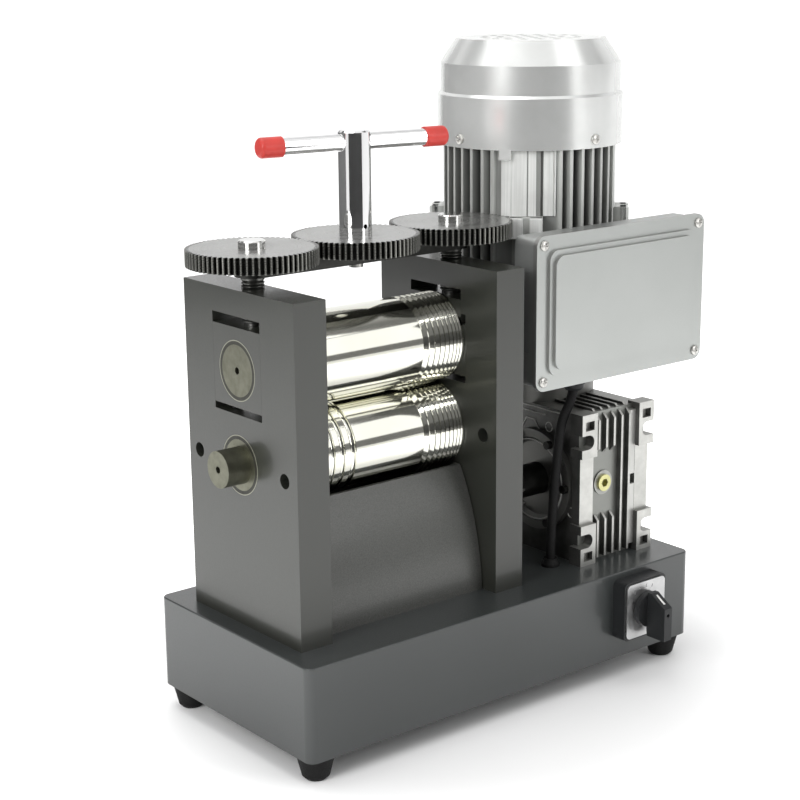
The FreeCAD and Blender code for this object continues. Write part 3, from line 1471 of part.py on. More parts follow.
keep("output_shaft", turned("output_shaft_turned", ("0", "output_y", "output_z"), [
    ("0", "roller_gear_x"),
    ("output_shaft_radius", "roller_gear_x"),
    ("output_shaft_radius", "case_left + cover_spigot + running_clearance"),
    ("output_shoulder_radius", "case_left + cover_spigot + running_clearance"),
    ("output_shoulder_radius", "case_left + wheel_bore_depth - running_clearance"),
    ("output_shaft_radius", "case_left + wheel_bore_depth - running_clearance"),
    ("output_shaft_radius", "case_left + wheel_bore_depth + output_bearing_width - running_clearance"),
    ("0", "case_left + wheel_bore_depth + output_bearing_width - running_clearance"),
], "X"))
keep("worm", turned("worm_turned", ("gearbox_x", "worm_y", "0"), [
    ("0", "worm_floor + seat_clearance"),
    ("motor_shaft_radius", "worm_floor + seat_clearance"),
    ("motor_shaft_radius", "worm_floor + bearing_width + running_clearance"),
    ("worm_hub_radius", "worm_floor + bearing_width + running_clearance"),
    ("worm_hub_radius", "output_z - worm_length / 2"),
    ("worm_radius", "output_z - worm_length / 2"),
    ("worm_radius", "output_z + worm_length / 2"),
    ("worm_hub_radius", "output_z + worm_length / 2"),
    ("worm_hub_radius", "case_top - bearing_width - running_clearance"),
    ("motor_shaft_radius", "case_top - bearing_width - running_clearance"),
    ("motor_shaft_radius", "case_top"),
    ("motor_nose_radius", "case_top"),
    ("motor_nose_radius", "case_top - nose_depth"),
    ("0", "case_top - nose_depth"),
]))
plug_face = ("plug_x", "panel_front - plug_boss_height - plug_height", "plug_z")
plug_blank = join("oil_plug_blank", [
    rod("oil_plug_head", plug_face, "plug_radius", "plug_height", "Y"),
    rod("oil_plug_shank", ("plug_x", "panel_front - plug_boss_height", "plug_z"),
        "plug_thread_radius - thread_clearance", "plug_boss_height + gearbox_wall", "Y"),
])
socket_corners = [Vector(size("plug_socket") * math.cos(math.pi * corner / 3), 0,
                         size("plug_socket") * math.sin(math.pi * corner / 3)) for corner in range(6)]
socket_shape = prism(socket_corners, Vector(0, size("plug_socket_depth"), 0))
keep("oil_plug", cut("oil_plug_bored", plug_blank, [coded("plug_socket", socket_shape, plug_face)]))

# ---------------------------------------------------------------- motor

adapter_outline = [
    ("adapter_bore_radius", "0"), ("adapter_radius", "0"),
    ("adapter_radius", "motor_bottom - case_top"), ("adapter_bore_radius", "motor_bottom - case_top"),
]
keep("motor_adapter", cut("adapter_bored", turned(
    "adapter_turned", ("gearbox_x", "worm_y", "case_top"), adapter_outline), [
        rod(f"adapter_hole_{number}", (x, y, "case_top"), "flange_bolt_radius + seat_clearance",
            "motor_bottom - case_top")
        for number, (x, y) in enumerate(flange_bolt_spots)
]))
shield_outline = [
    ("adapter_bore_radius", "0"),
    ("adapter_radius", "0"),
    ("shield_radius", "shield_flare"),
    ("shield_radius", "shield_height"),
    ("frame_bore_radius", "shield_height"),
    ("frame_bore_radius", "shield_floor"),
    ("shield_hub_radius", "shield_floor"),
    ("shield_hub_radius", "shield_height"),
    ("motor_bearing_radius", "shield_height"),
    ("motor_bearing_radius", "shield_height - bearing_width"),
    ("adapter_bore_radius", "shield_height - bearing_width"),
]
keep("motor_drive_shield", cut("shield_bored", turned(
    "shield_turned", ("gearbox_x", "worm_y", "motor_bottom"), shield_outline), [
        rod(f"shield_hole_{number}", (x, y, "motor_bottom"), "flange_bolt_radius + seat_clearance",
            "shield_floor")
        for number, (x, y) in enumerate(flange_bolt_spots)
]))
flange_bolt_end = "case_top - motor_bottom - shield_floor - flange_bolt_depth + seat_clearance"
keep("flange_bolts", group("flange_bolt_set", [
    turned(f"flange_bolt_{number}", (x, y, "motor_bottom + shield_floor"), [
        ("0", flange_bolt_end),
        ("flange_bolt_radius", flange_bolt_end),
        ("flange_bolt_radius", "0"),
        ("flange_bolt_head_radius", "0"),
        ("flange_bolt_head_radius", "flange_bolt_head_height"),
        ("0", "flange_bolt_head_height"),
    ])
    for number, (x, y) in enumerate(flange_bolt_spots)
]))


def upright_cylinder(radius, low, high):
    """A cylinder about the motor's axis, between two heights."""
    return Part.makeCylinder(radius, high - low, Vector(0, 0, low))


def radial_box(reach, width, low, high, angle):
    """A box from the motor's axis outwards, at an angle."""
    box = Part.makeBox(reach, width, high - low, Vector(0, -width / 2, low))
    box.rotate(Vector(), Vector(0, 0, 1), angle)
    return box


low, high = size("frame_bottom"), size("frame_top")
fins = []
fin_pitch, fin_thickness = size("fin_pitch"), size("fin_thickness")
fin_offsets = [0, fin_pitch, 2 * fin_pitch, size("fin_last_offset")]
fin_offsets += [-offset for offset in fin_offsets[1:]]
reach = size("fin_radius")
for offset in fin_offsets:
    edge = offset - fin_thickness / 2
    fins.append(Part.makeBox(2 * reach, fin_thickness, high - low, Vector(-reach, edge, low)))
    fins.append(Part.makeBox(fin_thickness, 2 * reach, high - low, Vector(edge, -reach, low)))
ear_top = high - size("ear_drop")
ear_bottom = ear_top - size("ear_height")
ears = []
for quarter in range(4):
    angle = 45 + 90 * quarter
    fins.append(radial_box(size("pad_radius"), size("pad_width"), low, high, angle))
    fins.append(radial_box(size("pad_rib_radius"), size("pad_rib_width"), low, high, angle))
    ears.append(radial_box(size("ear_radius"), size("ear_width"), ear_bottom, ear_top, angle))
fin_block = fins[0].fuse(fins[1:]).common(upright_cylinder(reach, low, high))
cowl_screw_z = size("cowl_bottom") + size("cowl_screw_rise")
boss_half = size("cowl_boss_width") / 2
boss_reach = size("cowl_radius") - size("cowl_wall") - size("thread_clearance")
boss_span = cowl_screw_z - boss_half, cowl_screw_z + boss_half
boss_room = upright_cylinder(boss_reach, low, high)
bosses = [
    radial_box(boss_reach, 2 * boss_half, *boss_span, 90 * quarter).common(boss_room)
    for quarter in range(4)
]
frame_shape = upright_cylinder(size("frame_core_radius"), low, high).fuse([fin_block] + ears + bosses)
frame_shape = frame_shape.cut(upright_cylinder(size("frame_bore_radius"), low, high))
neck_half = size("box_neck_width") / 2 + size("seat_clearance")
neck_low = size("box_neck_bottom") - size("seat_clearance")
neck_high = size("box_neck_bottom") + size("box_neck_height") + size("seat_clearance")
neck_room = Part.makeBox(2 * neck_half, size("cowl_radius"), neck_high - neck_low,
                         Vector(-neck_half, -size("cowl_radius"), neck_low))
neck_room = neck_room.cut(upright_cylinder(size("frame_core_radius"), neck_low, neck_high))
frame_shape = frame_shape.cut(neck_room)
wire_hole = Part.makeCylinder(size("wire_hole_radius"), size("cowl_radius"),
                              Vector(0, 0, size("box_neck_middle")), Vector(0, -1, 0))
frame_shape = frame_shape.cut(wire_hole)
screw_holes = []
for quarter in range(4):
    hole = Part.makeCylinder(
        size("cowl_screw_radius") + size("thread_clearance"), size("cowl_screw_length"),
        Vector(size("cowl_radius") - size("cowl_screw_length"), 0, cowl_screw_z), Vector(1, 0, 0))
    hole.rotate(Vector(), Vector(0, 0, 1), 90 * quarter)
    screw_holes.append(hole)
frame_shape = frame_shape.cut(screw_holes).removeSplitter()
motor_axis = ("gearbox_x", "worm_y", "0")
keep("motor_frame", coded("motor_frame_cast", frame_shape, motor_axis))
keep("stator", ring("stator_ring", ("gearbox_x", "worm_y", "stator_bottom"), "rotor_radius + air_gap",
                    "frame_bore_radius", "stator_length"))
keep("motor_rotor", turned("rotor_turned", motor_axis, [
    ("0", "case_top - nose_depth + seat_clearance"),
    ("motor_nose_radius", "case_top - nose_depth + seat_clearance"),
    ("motor_nose_radius", "motor_bottom"),
    ("motor_shaft_radius", "motor_bottom"),
    ("motor_shaft_radius", "lower_bearing_z + bearing_width + running_clearance"),
    ("rotor_shoulder_radius", "lower_bearing_z + bearing_width + running_clearance"),
    ("rotor_shoulder_radius", "stator_bottom"),
    ("rotor_radius", "stator_bottom"),
    ("rotor_radius", "stator_bottom + stator_length"),
    ("rotor_shoulder_radius", "stator_bottom + stator_length"),
    ("rotor_shoulder_radius", "upper_bearing_z - running_clearance"),
    ("motor_shaft_radius", "upper_bearing_z - running_clearance"),
    ("motor_shaft_radius", "upper_bearing_z + bearing_width"),
    ("motor_nose_radius", "upper_bearing_z + bearing_width"),
    ("motor_nose_radius", "fan_bottom + fan_height"),
    ("0", "fan_bottom + fan_height"),
]))
keep("shaft_bearings", group("shaft_bearing_set", [
    ring(f"shaft_bearing_{number}", ("gearbox_x", "worm_y", z), "motor_shaft_radius + running_clearance",
         "motor_bearing_radius", "bearing_width")
    for number, z in enumerate(
        ("worm_floor", "case_top - bearing_width", "lower_bearing_z", "upper_bearing_z"))
]))
keep("motor_rear_shield", turned("rear_shield_turned", ("gearbox_x", "worm_y", "frame_top"), [
    ("rear_bore_radius", "upper_bearing_z + bearing_width - frame_top"),
    ("rear_bore_radius", "rear_shield_height"),
    ("rear_shield_radius", "rear_shield_height"),
    ("rear_shield_radius", "0"),
    ("frame_bore_radius", "0"),
    ("frame_bore_radius", "-rear_spigot"),
    ("frame_bore_radius - rear_spigot_wall", "-rear_spigot"),
    ("frame_bore_radius - rear_spigot_wall", "0"),
    ("shield_hub_radius", "0"),
    ("shield_hub_radius", "upper_bearing_z - frame_top"),
    ("motor_bearing_radius", "upper_bearing_z - frame_top"),
    ("motor_bearing_radius", "upper_bearing_z + bearing_width - frame_top"),
]))
fan_base, fan_rise = size("fan_bottom"), size("fan_height")
fan_bore, fan_hub, fan_reach = size("motor_nose_radius"), size("fan_hub_radius"), size("fan_radius")
fan_sheet, blade_inset = size("fan_thickness"), size("fan_blade_inset")
fan_shape = Part.makeCylinder(fan_hub, fan_rise, Vector(0, 0, fan_base))
fan_parts = [Part.makeCylinder(fan_reach, fan_sheet, Vector(0, 0, fan_base))]
for number in range(int(size("fan_blades"))):
    blade = Part.makeBox(fan_reach - fan_bore - 2 * blade_inset, fan_sheet, fan_rise,
                         Vector(fan_bore + blade_inset, -fan_sheet / 2, fan_base))
    blade.rotate(Vector(), Vector(0, 0, 1), 360 * number / int(size("fan_blades")))
    fan_parts.append(blade)
fan_shape = fan_shape.fuse(fan_parts)
fan_shape = fan_shape.cut(Part.makeCylinder(fan_bore, fan_rise, Vector(0, 0, fan_base)))
keep("cooling_fan", coded("fan_moulded", fan_shape, motor_axis))

cowl_low = size("cowl_bottom")
step_low = cowl_low + size("cowl_skirt")
band_top = step_low + size("cowl_band")
roof = size("cowl_top")
wall, outer = size("cowl_wall"), size("cowl_radius")
upper, crown = size("cowl_upper_radius"), size("cowl_top_radius")
step_bottom = step_low - size("cowl_step")
cowl_shape = spun(outline_edges([
    (outer - wall, cowl_low), (outer, cowl_low), (outer, step_bottom), (upper, step_low),
    (upper, band_top), (crown, roof), (0, roof), (0, roof - wall), (crown - wall / 2, roof - wall),
    (upper - wall, band_top - wall / 2), (upper - wall, step_low), (outer - wall, step_bottom),
]))
vents = []
for circle, count in enumerate((1, 6, 12, 18)):
    for number in range(count):
        vent = Part.makeCylinder(size("cowl_vent_radius"), 2 * wall,
                                 Vector(circle * size("cowl_vent_pitch"), 0, roof - 3 * wall / 2))
        vent.rotate(Vector(), Vector(0, 0, 1), 360 * number / count)
        vents.append(vent)
cowl_holes = []
for quarter in range(4):
    hole = Part.makeCylinder(size("cowl_screw_radius") + size("seat_clearance"), 4 * wall,
                             Vector(outer - 3 * wall, 0, cowl_screw_z), Vector(1, 0, 0))
    hole.rotate(Vector(), Vector(0, 0, 1), 90 * quarter)
    cowl_holes.append(hole)
tab = Part.makeBox(wall, size("cowl_tab_width"), size("cowl_tab_drop") + wall,
                   Vector(outer - wall, -size("cowl_tab_width") / 2, cowl_low - size("cowl_tab_drop")))
tab.rotate(Vector(), Vector(0, 0, 1), size("cowl_tab_angle"))
cowl_shape = cowl_shape.cut(vents + cowl_holes).fuse(tab)
keep("fan_cowl", coded("cowl_pressed", cowl_shape, motor_axis))
cowl_screws = []
for quarter in range(4):
    screw_reach = size("cowl_screw_length") - size("seat_clearance")
    screw = Part.makeCylinder(size("cowl_screw_radius"), screw_reach,
                              Vector(outer - screw_reach, 0, cowl_screw_z), Vector(1, 0, 0))
    dome = Part.makeCone(size("cowl_screw_head_radius"), size("cowl_screw_head_top"),
                         size("cowl_screw_head"), Vector(outer, 0, cowl_screw_z), Vector(1, 0, 0))
    for piece in (screw, dome):
        piece.rotate(Vector(), Vector(0, 0, 1), 90 * quarter)
    cowl_screws.append(coded(f"cowl_screw_{quarter}", screw.fuse(dome), motor_axis))
keep("cowl_screws", group("cowl_screw_set", cowl_screws))

# ---------------------------------------------------------------- terminal box

body_left, body_bottom = "box_left + box_body_inset", "box_bottom + box_body_inset"
body_width, body_height = "box_width - 2 * box_body_inset", "box_height - 2 * box_body_inset"
box_shell = slab("box_shell", (body_left, "box_body_back", body_bottom), body_width, body_height,
                 "box_body_depth", "box_corner - box_body_inset")
box_neck = block(
    "box_neck",
    ("gearbox_x - box_neck_width / 2", "box_body_back - box_wall / 2", "box_neck_bottom"),
    ("box_neck_width", "worm_y - box_body_back", "box_neck_height"),
)
box_tools = [
    slab("box_room",
         (f"{body_left} + box_wall", "box_body_back - box_wall", f"{body_bottom} + box_wall"),
         f"{body_width} - 2 * box_wall", f"{body_height} - 2 * box_wall", "box_body_depth",
         "box_corner - box_body_inset - box_wall / 2"),
    rod("neck_end", ("gearbox_x", "worm_y", "box_bottom"), "frame_core_radius + running_clearance",
        "box_height"),
    block("neck_room",
          ("gearbox_x - box_neck_width / 2 + box_wall", "box_body_back - 2 * box_wall",
           "box_neck_bottom + box_wall"),
          ("box_neck_width - 2 * box_wall", "worm_y - box_body_back", "box_neck_height - 2 * box_wall")),
    rod("gland_hole", ("gland_x", "gland_y", body_bottom), "gland_thread_radius + thread_clearance",
        "box_wall"),
]
boss_spots = [
    (x, z)
    for x in ("box_left + box_screw_inset", "box_left + box_width - box_screw_inset")
    for z in ("box_bottom + box_screw_inset", "box_top - box_screw_inset")
]
box_bosses = [
    rod(f"box_boss_{number}", (x, "box_body_front", z), "box_boss_radius",
        "box_body_depth - box_wall / 2", "Y")
    for number, (x, z) in enumerate(boss_spots)
]
box_holes = [
    rod(f"box_hole_{number}", (x, "box_body_front", z), "box_screw_radius + thread_clearance",
        "box_screw_depth + seat_clearance", "Y")
    for number, (x, z) in enumerate(boss_spots)
] + [
    block(f"{side}_box_recess",
          (x, "box_body_front + box_recess_margin", "box_middle - box_recess_height / 2"),
          ("box_recess_depth", "box_body_depth - 2 * box_recess_margin", "box_recess_height"))
    for side, x in (("left", body_left),
                    ("right", "box_left + box_width - box_body_inset - box_recess_depth"))
]
box_hollow = cut("box_hollow", join("box_solid", [box_shell, box_neck]), box_tools)
box_inner = cut("box_boss_trim", join("box_boss_set", [box_hollow] + box_bosses), box_holes)
keep("terminal_box", box_inner)

gasket_stock = slab("gasket_stock", (body_left, "box_body_front", body_bottom), body_width, body_height,
                    "gasket_thickness", "box_corner - box_body_inset")
gasket_tools = [
    slab("gasket_room",
         (f"{body_left} + gasket_width", "box_body_front", f"{body_bottom} + gasket_width"),
         f"{body_width} - 2 * gasket_width", f"{body_height} - 2 * gasket_width", "gasket_thickness",
         "box_corner"),
] + [
    rod(f"gasket_hole_{number}", (x, "gasket_front", z), "box_screw_radius + seat_clearance",
        "gasket_thickness", "Y")
    for number, (x, z) in enumerate(boss_spots)
]
keep("terminal_gasket", cut("gasket_cut", gasket_stock, gasket_tools))


def inset_slab(name, back, inset, thickness, corner):
    """A plate of the terminal box's cover, set in evenly from its outline."""
    return slab(name, (f"box_left + {inset}", back, f"box_bottom + {inset}"),
                f"box_width - 2 * {inset}", f"box_height - 2 * {inset}", thickness, corner)


cover_stack = join("cover_stack", [
    inset_slab("cover_rim", "gasket_front", "0", "box_rim_thickness", "box_corner"),
    inset_slab("cover_step", "rim_front + box_overlap", "box_step_inset",
               "box_step_height + box_overlap", "box_corner"),
    inset_slab("cover_panel", "rim_front - box_step_height + box_overlap", "box_panel_inset",
               "box_panel_height + box_overlap", "box_corner"),
])
keep("terminal_cover", cut("cover_bored", cover_stack, [
    inset_slab("cover_room", "gasket_front", "(box_step_inset + box_room_margin)", "box_rim_thickness",
               "box_corner"),
] + [
    rod(f"cover_screw_hole_{number}", (x, "rim_front", z), "box_screw_radius + seat_clearance",
        "box_rim_thickness", "Y")
    for number, (x, z) in enumerate(boss_spots)
]))
keep("terminal_cover_screws", group("box_screw_set", [
    turned(f"box_screw_{number}", (x, "rim_front", z), [
        ("0", "-box_screw_head_height"),
        ("box_screw_head_top", "-box_screw_head_height"),
        ("box_screw_head_radius", "-box_screw_head_height / 2"),
        ("box_screw_head_radius", "0"),
        ("box_screw_radius", "0"),
        ("box_screw_radius", "box_rim_thickness + gasket_thickness + box_screw_depth"),
        ("0", "box_rim_thickness + gasket_thickness + box_screw_depth"),
    ], "Y")
    for number, (x, z) in enumerate(boss_spots)
]))

# ---------------------------------------------------------------- gland, cable and grommets

keep("cable_gland", turned("gland_turned", ("gland_x", "gland_y", "gland_bottom"), [
    ("cable_radius", "0"),
    ("gland_tip_radius", "0"),
    ("gland_radius", "gland_tip_height"),
    ("gland_radius", "gland_length - gland_nut_height"),
    ("gland_nut_radius", "gland_length - gland_nut_height"),
    ("gland_nut_radius", "gland_length"),
    ("gland_thread_radius", "gland_length"),
    ("gland_thread_radius", "gland_length + box_wall + gland_inside"),
    ("cable_radius", "gland_length + box_wall + gland_inside"),
]))
cable_x, cable_y = size("gland_x"), size("gland_y")
cable_points = [
    Vector(cable_x, cable_y, size("gland_top") + size("box_wall") + size("gland_inside")),
    Vector(cable_x, cable_y, size("cable_first_z")),
    Vector(cable_x - size("cable_second_shift"), cable_y, size("cable_second_z")),
    Vector(cable_x - size("cable_third_shift"), cable_y, size("cable_third_z")),
    Vector(size("grommet_x"), size("grommet_y"), size("cable_fourth_z")),
    Vector(size("grommet_x"), size("grommet_y"), size("base_ceiling") - size("cable_tail")),
]
keep("motor_cable", coded("cable_bent", tube_along(cable_points, size("cable_radius"))))
grommet_outline = [
    ("cable_radius", "-base_wall - grommet_lip"),
    ("grommet_radius", "-base_wall - grommet_lip"),
    ("grommet_radius", "-base_wall"),
    ("grommet_neck_radius", "-base_wall"),
    ("grommet_neck_radius", "0"),
    ("grommet_radius", "0"),
    ("grommet_radius", "grommet_lip"),
    ("grommet_top_radius", "grommet_height"),
    ("cable_radius", "grommet_height"),
]
keep("base_grommets", group("grommet_pair", [
    turned("cable_grommet", ("grommet_x", "grommet_y", "base_top"), grommet_outline),
    turned("inlet_grommet", ("inlet_x", "base_back", "inlet_z"), grommet_outline, "Y"),
]))

# ---------------------------------------------------------------- rotary switch

switch_housing = join("switch_housing", [
    slab("switch_slab", ("switch_x - switch_width / 2", "base_front", "switch_z - switch_height / 2"),
         "switch_width", "switch_height", "switch_depth", "switch_corner"),
    rod("switch_barrel", ("switch_x", "base_front", "switch_z"), "switch_barrel_radius",
        "switch_barrel_length", "Y"),
])
keep("switch_body", cut("switch_bored", switch_housing, [
    rod("switch_bore", ("switch_x", "switch_face", "switch_z"), "knob_shaft_radius + running_clearance",
        "knob_shaft_reach", "Y"),
]))
keep("switch_plate", cut("plate_bored", slab(
    "switch_face_plate",
    ("switch_x - switch_plate_width / 2", "switch_face", "switch_z - switch_plate_height / 2"),
    "switch_plate_width", "switch_plate_height", "switch_plate_thickness", "switch_corner"), [
        rod("switch_plate_hole", ("switch_x", "switch_plate_face", "switch_z"),
            "knob_shaft_radius + seat_clearance", "switch_plate_thickness", "Y"),
]))
blade = doc.addObject("PartDesign::Body", "knob_blade")
blade_outline = sketch_on(blade, "YZ_Plane", "knob_blade_outline")
draw_outline(blade_outline, [
    ("knob_disc_sink", "-knob_disc_radius + knob_disc_inset"),
    ("knob_disc_sink", "knob_disc_radius - knob_disc_inset"),
    ("0", "knob_blade_top"),
    ("-knob_blade_flat", "knob_blade_top"),
    ("-knob_blade_depth", "knob_blade_shoulder"),
    ("-knob_blade_depth", "-knob_blade_bottom"),
    ("0", "-knob_blade_bottom"),
])
pad(blade, blade_outline, "knob_blade_width")
place(blade, ("switch_x - knob_blade_width / 2", "knob_disc_face", "switch_z"))
knob_solid = join("knob_solid", [
    rod("knob_disc", ("switch_x", "knob_disc_face", "switch_z"), "knob_disc_radius",
        "knob_disc_height", "Y"),
    rod("knob_shaft", ("switch_x", "knob_disc_face", "switch_z"), "knob_shaft_radius",
        "switch_face - knob_disc_face + knob_shaft_reach - seat_clearance", "Y"),
    blade,
])
keep("switch_knob", cut("knob_bored", knob_solid, [
    rod("knob_front_hole", ("switch_x", "knob_disc_face - knob_blade_depth", "switch_z"),
        "knob_front_hole_radius", "knob_front_hole_depth", "Y"),
]))

# ---------------------------------------------------------------- check and write

doc.recompute()
broken = [item.Name for item in doc.Objects if "Invalid" in item.State or "Error" in item.State]
if broken:
    raise ValueError(f"these did not build: {broken}")
os.makedirs("parts", exist_ok=True)
for node in NODES:
    shape = node.Shape
    if shape.isNull() or not shape.isValid() or shape.Volume <= 0:
        raise ValueError(f"{node.Label} has no sound shape")
    shape.exportStep(f"parts/{node.Label}.step")
print(f"{len(NODES)} sub-parts written")
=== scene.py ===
"""Looks, small extra pieces and the studio of the jewellers rolling mill, in metres."""
import math

import bmesh
import bpy
from mathutils import Matrix, Vector


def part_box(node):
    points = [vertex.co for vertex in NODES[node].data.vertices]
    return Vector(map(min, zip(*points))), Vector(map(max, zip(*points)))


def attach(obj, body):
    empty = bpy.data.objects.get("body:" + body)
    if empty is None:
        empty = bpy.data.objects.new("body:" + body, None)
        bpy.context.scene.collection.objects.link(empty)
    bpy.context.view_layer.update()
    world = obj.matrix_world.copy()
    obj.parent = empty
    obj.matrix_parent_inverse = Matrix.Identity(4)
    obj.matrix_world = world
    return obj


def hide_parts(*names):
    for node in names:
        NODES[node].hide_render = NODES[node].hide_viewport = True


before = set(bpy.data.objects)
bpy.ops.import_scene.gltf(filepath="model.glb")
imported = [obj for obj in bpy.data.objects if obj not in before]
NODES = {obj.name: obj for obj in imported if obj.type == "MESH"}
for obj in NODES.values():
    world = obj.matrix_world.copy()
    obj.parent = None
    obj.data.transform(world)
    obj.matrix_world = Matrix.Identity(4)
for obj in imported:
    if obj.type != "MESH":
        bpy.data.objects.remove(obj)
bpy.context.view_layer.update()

MM = 0.001


# ---------------------------------------------------------------- camera

CAMERA_PLACE = (-0.8256, -0.96025, 0.5442)
CAMERA_AZIMUTH, CAMERA_ELEVATION, CAMERA_ROLL = 38.898, 14.353, -0.558
LENS = 79.70
SENSOR_WIDTH = 36
VIEW_DEPTH = 20


def aim_camera():
    """The camera at the photograph's place, angle and lens."""
    azimuth, elevation, roll = (
        math.radians(value) for value in (CAMERA_AZIMUTH, CAMERA_ELEVATION, CAMERA_ROLL))
    forward = Vector((
        math.sin(azimuth) * math.cos(elevation),
        math.cos(azimuth) * math.cos(elevation),
        -math.sin(elevation),
    ))
    level = Vector((math.cos(azimuth), -math.sin(azimuth), 0))
    upright = level.cross(forward)
    right = math.cos(roll) * level + math.sin(roll) * upright
    up = -math.sin(roll) * level + math.cos(roll) * upright
    turn = Matrix((right, up, -forward)).transposed().to_4x4()
    data = bpy.data.cameras.new("camera")
    data.lens = LENS
    data.sensor_width = SENSOR_WIDTH
    data.clip_end = VIEW_DEPTH
    camera = bpy.data.objects.new("camera", data)
    camera.matrix_world = Matrix.Translation(CAMERA_PLACE) @ turn
    bpy.context.scene.collection.objects.link(camera)
    bpy.context.scene.camera = camera


aim_camera()


# ---------------------------------------------------------------- material kit

class Shader:
    """A node tree being built, with the Principled shader as its end."""

    def __init__(self, name, colour, metallic=0.0, roughness=0.5, **fixed):
        self.material = bpy.data.materials.new(name)
        self.material.use_nodes = True
        self.tree = self.material.node_tree
        self.tree.nodes.clear()
        output = self.tree.nodes.new("ShaderNodeOutputMaterial")
        self.end = self.tree.nodes.new("ShaderNodeBsdfPrincipled")
        self.tree.links.new(self.end.outputs["BSDF"], output.inputs["Surface"])
        self.end.inputs["Base Color"].default_value = (*colour, 1)
        self.end.inputs["Metallic"].default_value = metallic
        self.end.inputs["Roughness"].default_value = roughness
        for socket, value in fixed.items():
            self.end.inputs[socket.replace("_", " ")].default_value = value
        self.normal = None

    def node(self, kind, **settings):
        made = self.tree.nodes.new(f"ShaderNode{kind}")
        for key, value in settings.items():
            setattr(made, key, value)
        return made

    def link(self, source, target):
        self.tree.links.new(source, target)

    def place(self):
        """Object coordinates: metres in the object's own frame."""
        return self.node("TexCoord").outputs["Object"]

    def scaled(self, factors):
        """The object's coordinates, stretched along each axis."""
        mapping = self.node("Mapping")
        mapping.inputs["Scale"].default_value = factors
        self.link(self.place(), mapping.inputs["Vector"])
        return mapping.outputs["Vector"]

    def noise(self, scale, detail=4, roughness=0.5, source=None):
        made = self.node("TexNoise")
        made.inputs["Scale"].default_value = scale
        made.inputs["Detail"].default_value = detail
        made.inputs["Roughness"].default_value = roughness
        self.link(source or self.place(), made.inputs["Vector"])
        return made.outputs["Fac"]

    def math(self, operation, first, second=None):
        made = self.node("Math", operation=operation)
        for slot, value in enumerate((first, second)):
            if value is None:
                continue
            if isinstance(value, (int, float)):
                made.inputs[slot].default_value = value
            else:
                self.link(value, made.inputs[slot])
        return made.outputs[0]

    def span(self, source, low, high, start=0.0, end=1.0, smooth=False):
        """A value remapped from one range to another."""
        made = self.node("MapRange", interpolation_type="SMOOTHSTEP" if smooth else "LINEAR")
        ends = (("From Min", low), ("From Max", high), ("To Min", start), ("To Max", end))
        for socket, value in ends:
            made.inputs[socket].default_value = value
        self.link(source, made.inputs["Value"])
        return made.outputs["Result"]

    def mix(self, factor, first, second):
        made = self.node("Mix", data_type="RGBA")
        if isinstance(factor, (int, float)):
            made.inputs["Factor"].default_value = factor
        else:
            self.link(factor, made.inputs["Factor"])
        for socket, value in (("A", first), ("B", second)):
            target = next(i for i in made.inputs if i.name == socket and i.type == "RGBA")
            if isinstance(value, tuple):
                target.default_value = (*value, 1)
            else:
                self.link(value, target)
        return next(o for o in made.outputs if o.type == "RGBA")

    def facing(self, axis):
        """How far the surface faces along an axis of the object, from -1 to 1."""
        return self.part_of(self.node("TexCoord").outputs["Normal"], axis)

    def part_of(self, vector, axis):
        separate = self.node("SeparateXYZ")
        self.link(vector, separate.inputs[0])
        return separate.outputs["XYZ".index(axis)]

    def along(self, axis):
        """The place along one axis, in metres."""
        return self.part_of(self.place(), axis)

    def near(self, source, value, reach):
        """1 at a value, falling to 0 at a distance from it."""
        away = self.math("ABSOLUTE", self.math("SUBTRACT", source, value))
        return self.span(away, reach, 0.0)

    def radius_from(self, centre, axis):
        """The distance from a line through a point along X, Y or Z."""
        keep = tuple(0.0 if letter == axis else 1.0 for letter in "XYZ")
        shift = self.node("VectorMath", operation="SUBTRACT")
        self.link(self.place(), shift.inputs[0])
        shift.inputs[1].default_value = centre
        flat = self.node("VectorMath", operation="MULTIPLY")
        self.link(shift.outputs[0], flat.inputs[0])
        flat.inputs[1].default_value = keep
        length = self.node("VectorMath", operation="LENGTH")
        self.link(flat.outputs[0], length.inputs[0])
        return length.outputs["Value"]

    def colour(self, source):
        self.link(source, self.end.inputs["Base Color"])

    def rough(self, source):
        self.link(source, self.end.inputs["Roughness"])

    def bump(self, height, distance, strength=1.0):
        """Add a height in metres; each bump is laid on the one before."""
        made = self.node("Bump")
        made.inputs["Strength"].default_value = strength
        made.inputs["Distance"].default_value = distance
        self.link(height, made.inputs["Height"])
        if self.normal is not None:
            self.link(self.normal, made.inputs["Normal"])
        self.normal = made.outputs["Normal"]
        self.link(self.normal, self.end.inputs["Normal"])


def times(colour, factor):
    """A colour made darker or paler."""
    return tuple(channel * factor for channel in colour)


# A noise's value mostly lies between these two.
LOW, HIGH = 0.3, 0.7
# Stains and clouds fade in between these two.
STAIN_LOW, STAIN_HIGH = 0.35, 0.75


def gloss_paint(name, colour):
    """Dark enamel on a machined casting, with a few fine specks."""
    shader = Shader(name, colour, 0.0, 0.33, Coat_Weight=0.3, Coat_Roughness=0.1)
    cloud = shader.noise(9, 3)
    tint = shader.mix(shader.span(cloud, LOW, HIGH), times(colour, 0.93), times(colour, 1.07))
    speck = shader.span(shader.noise(2600, 1), 0.68, 0.76, 0, 0.18)
    shader.colour(shader.mix(speck, tint, times(colour, 1.9)))
    shader.rough(shader.span(shader.noise(900, 2), LOW, HIGH, 0.29, 0.38))
    shader.bump(shader.noise(420, 3), 0.00012, 0.2)
    return shader.material


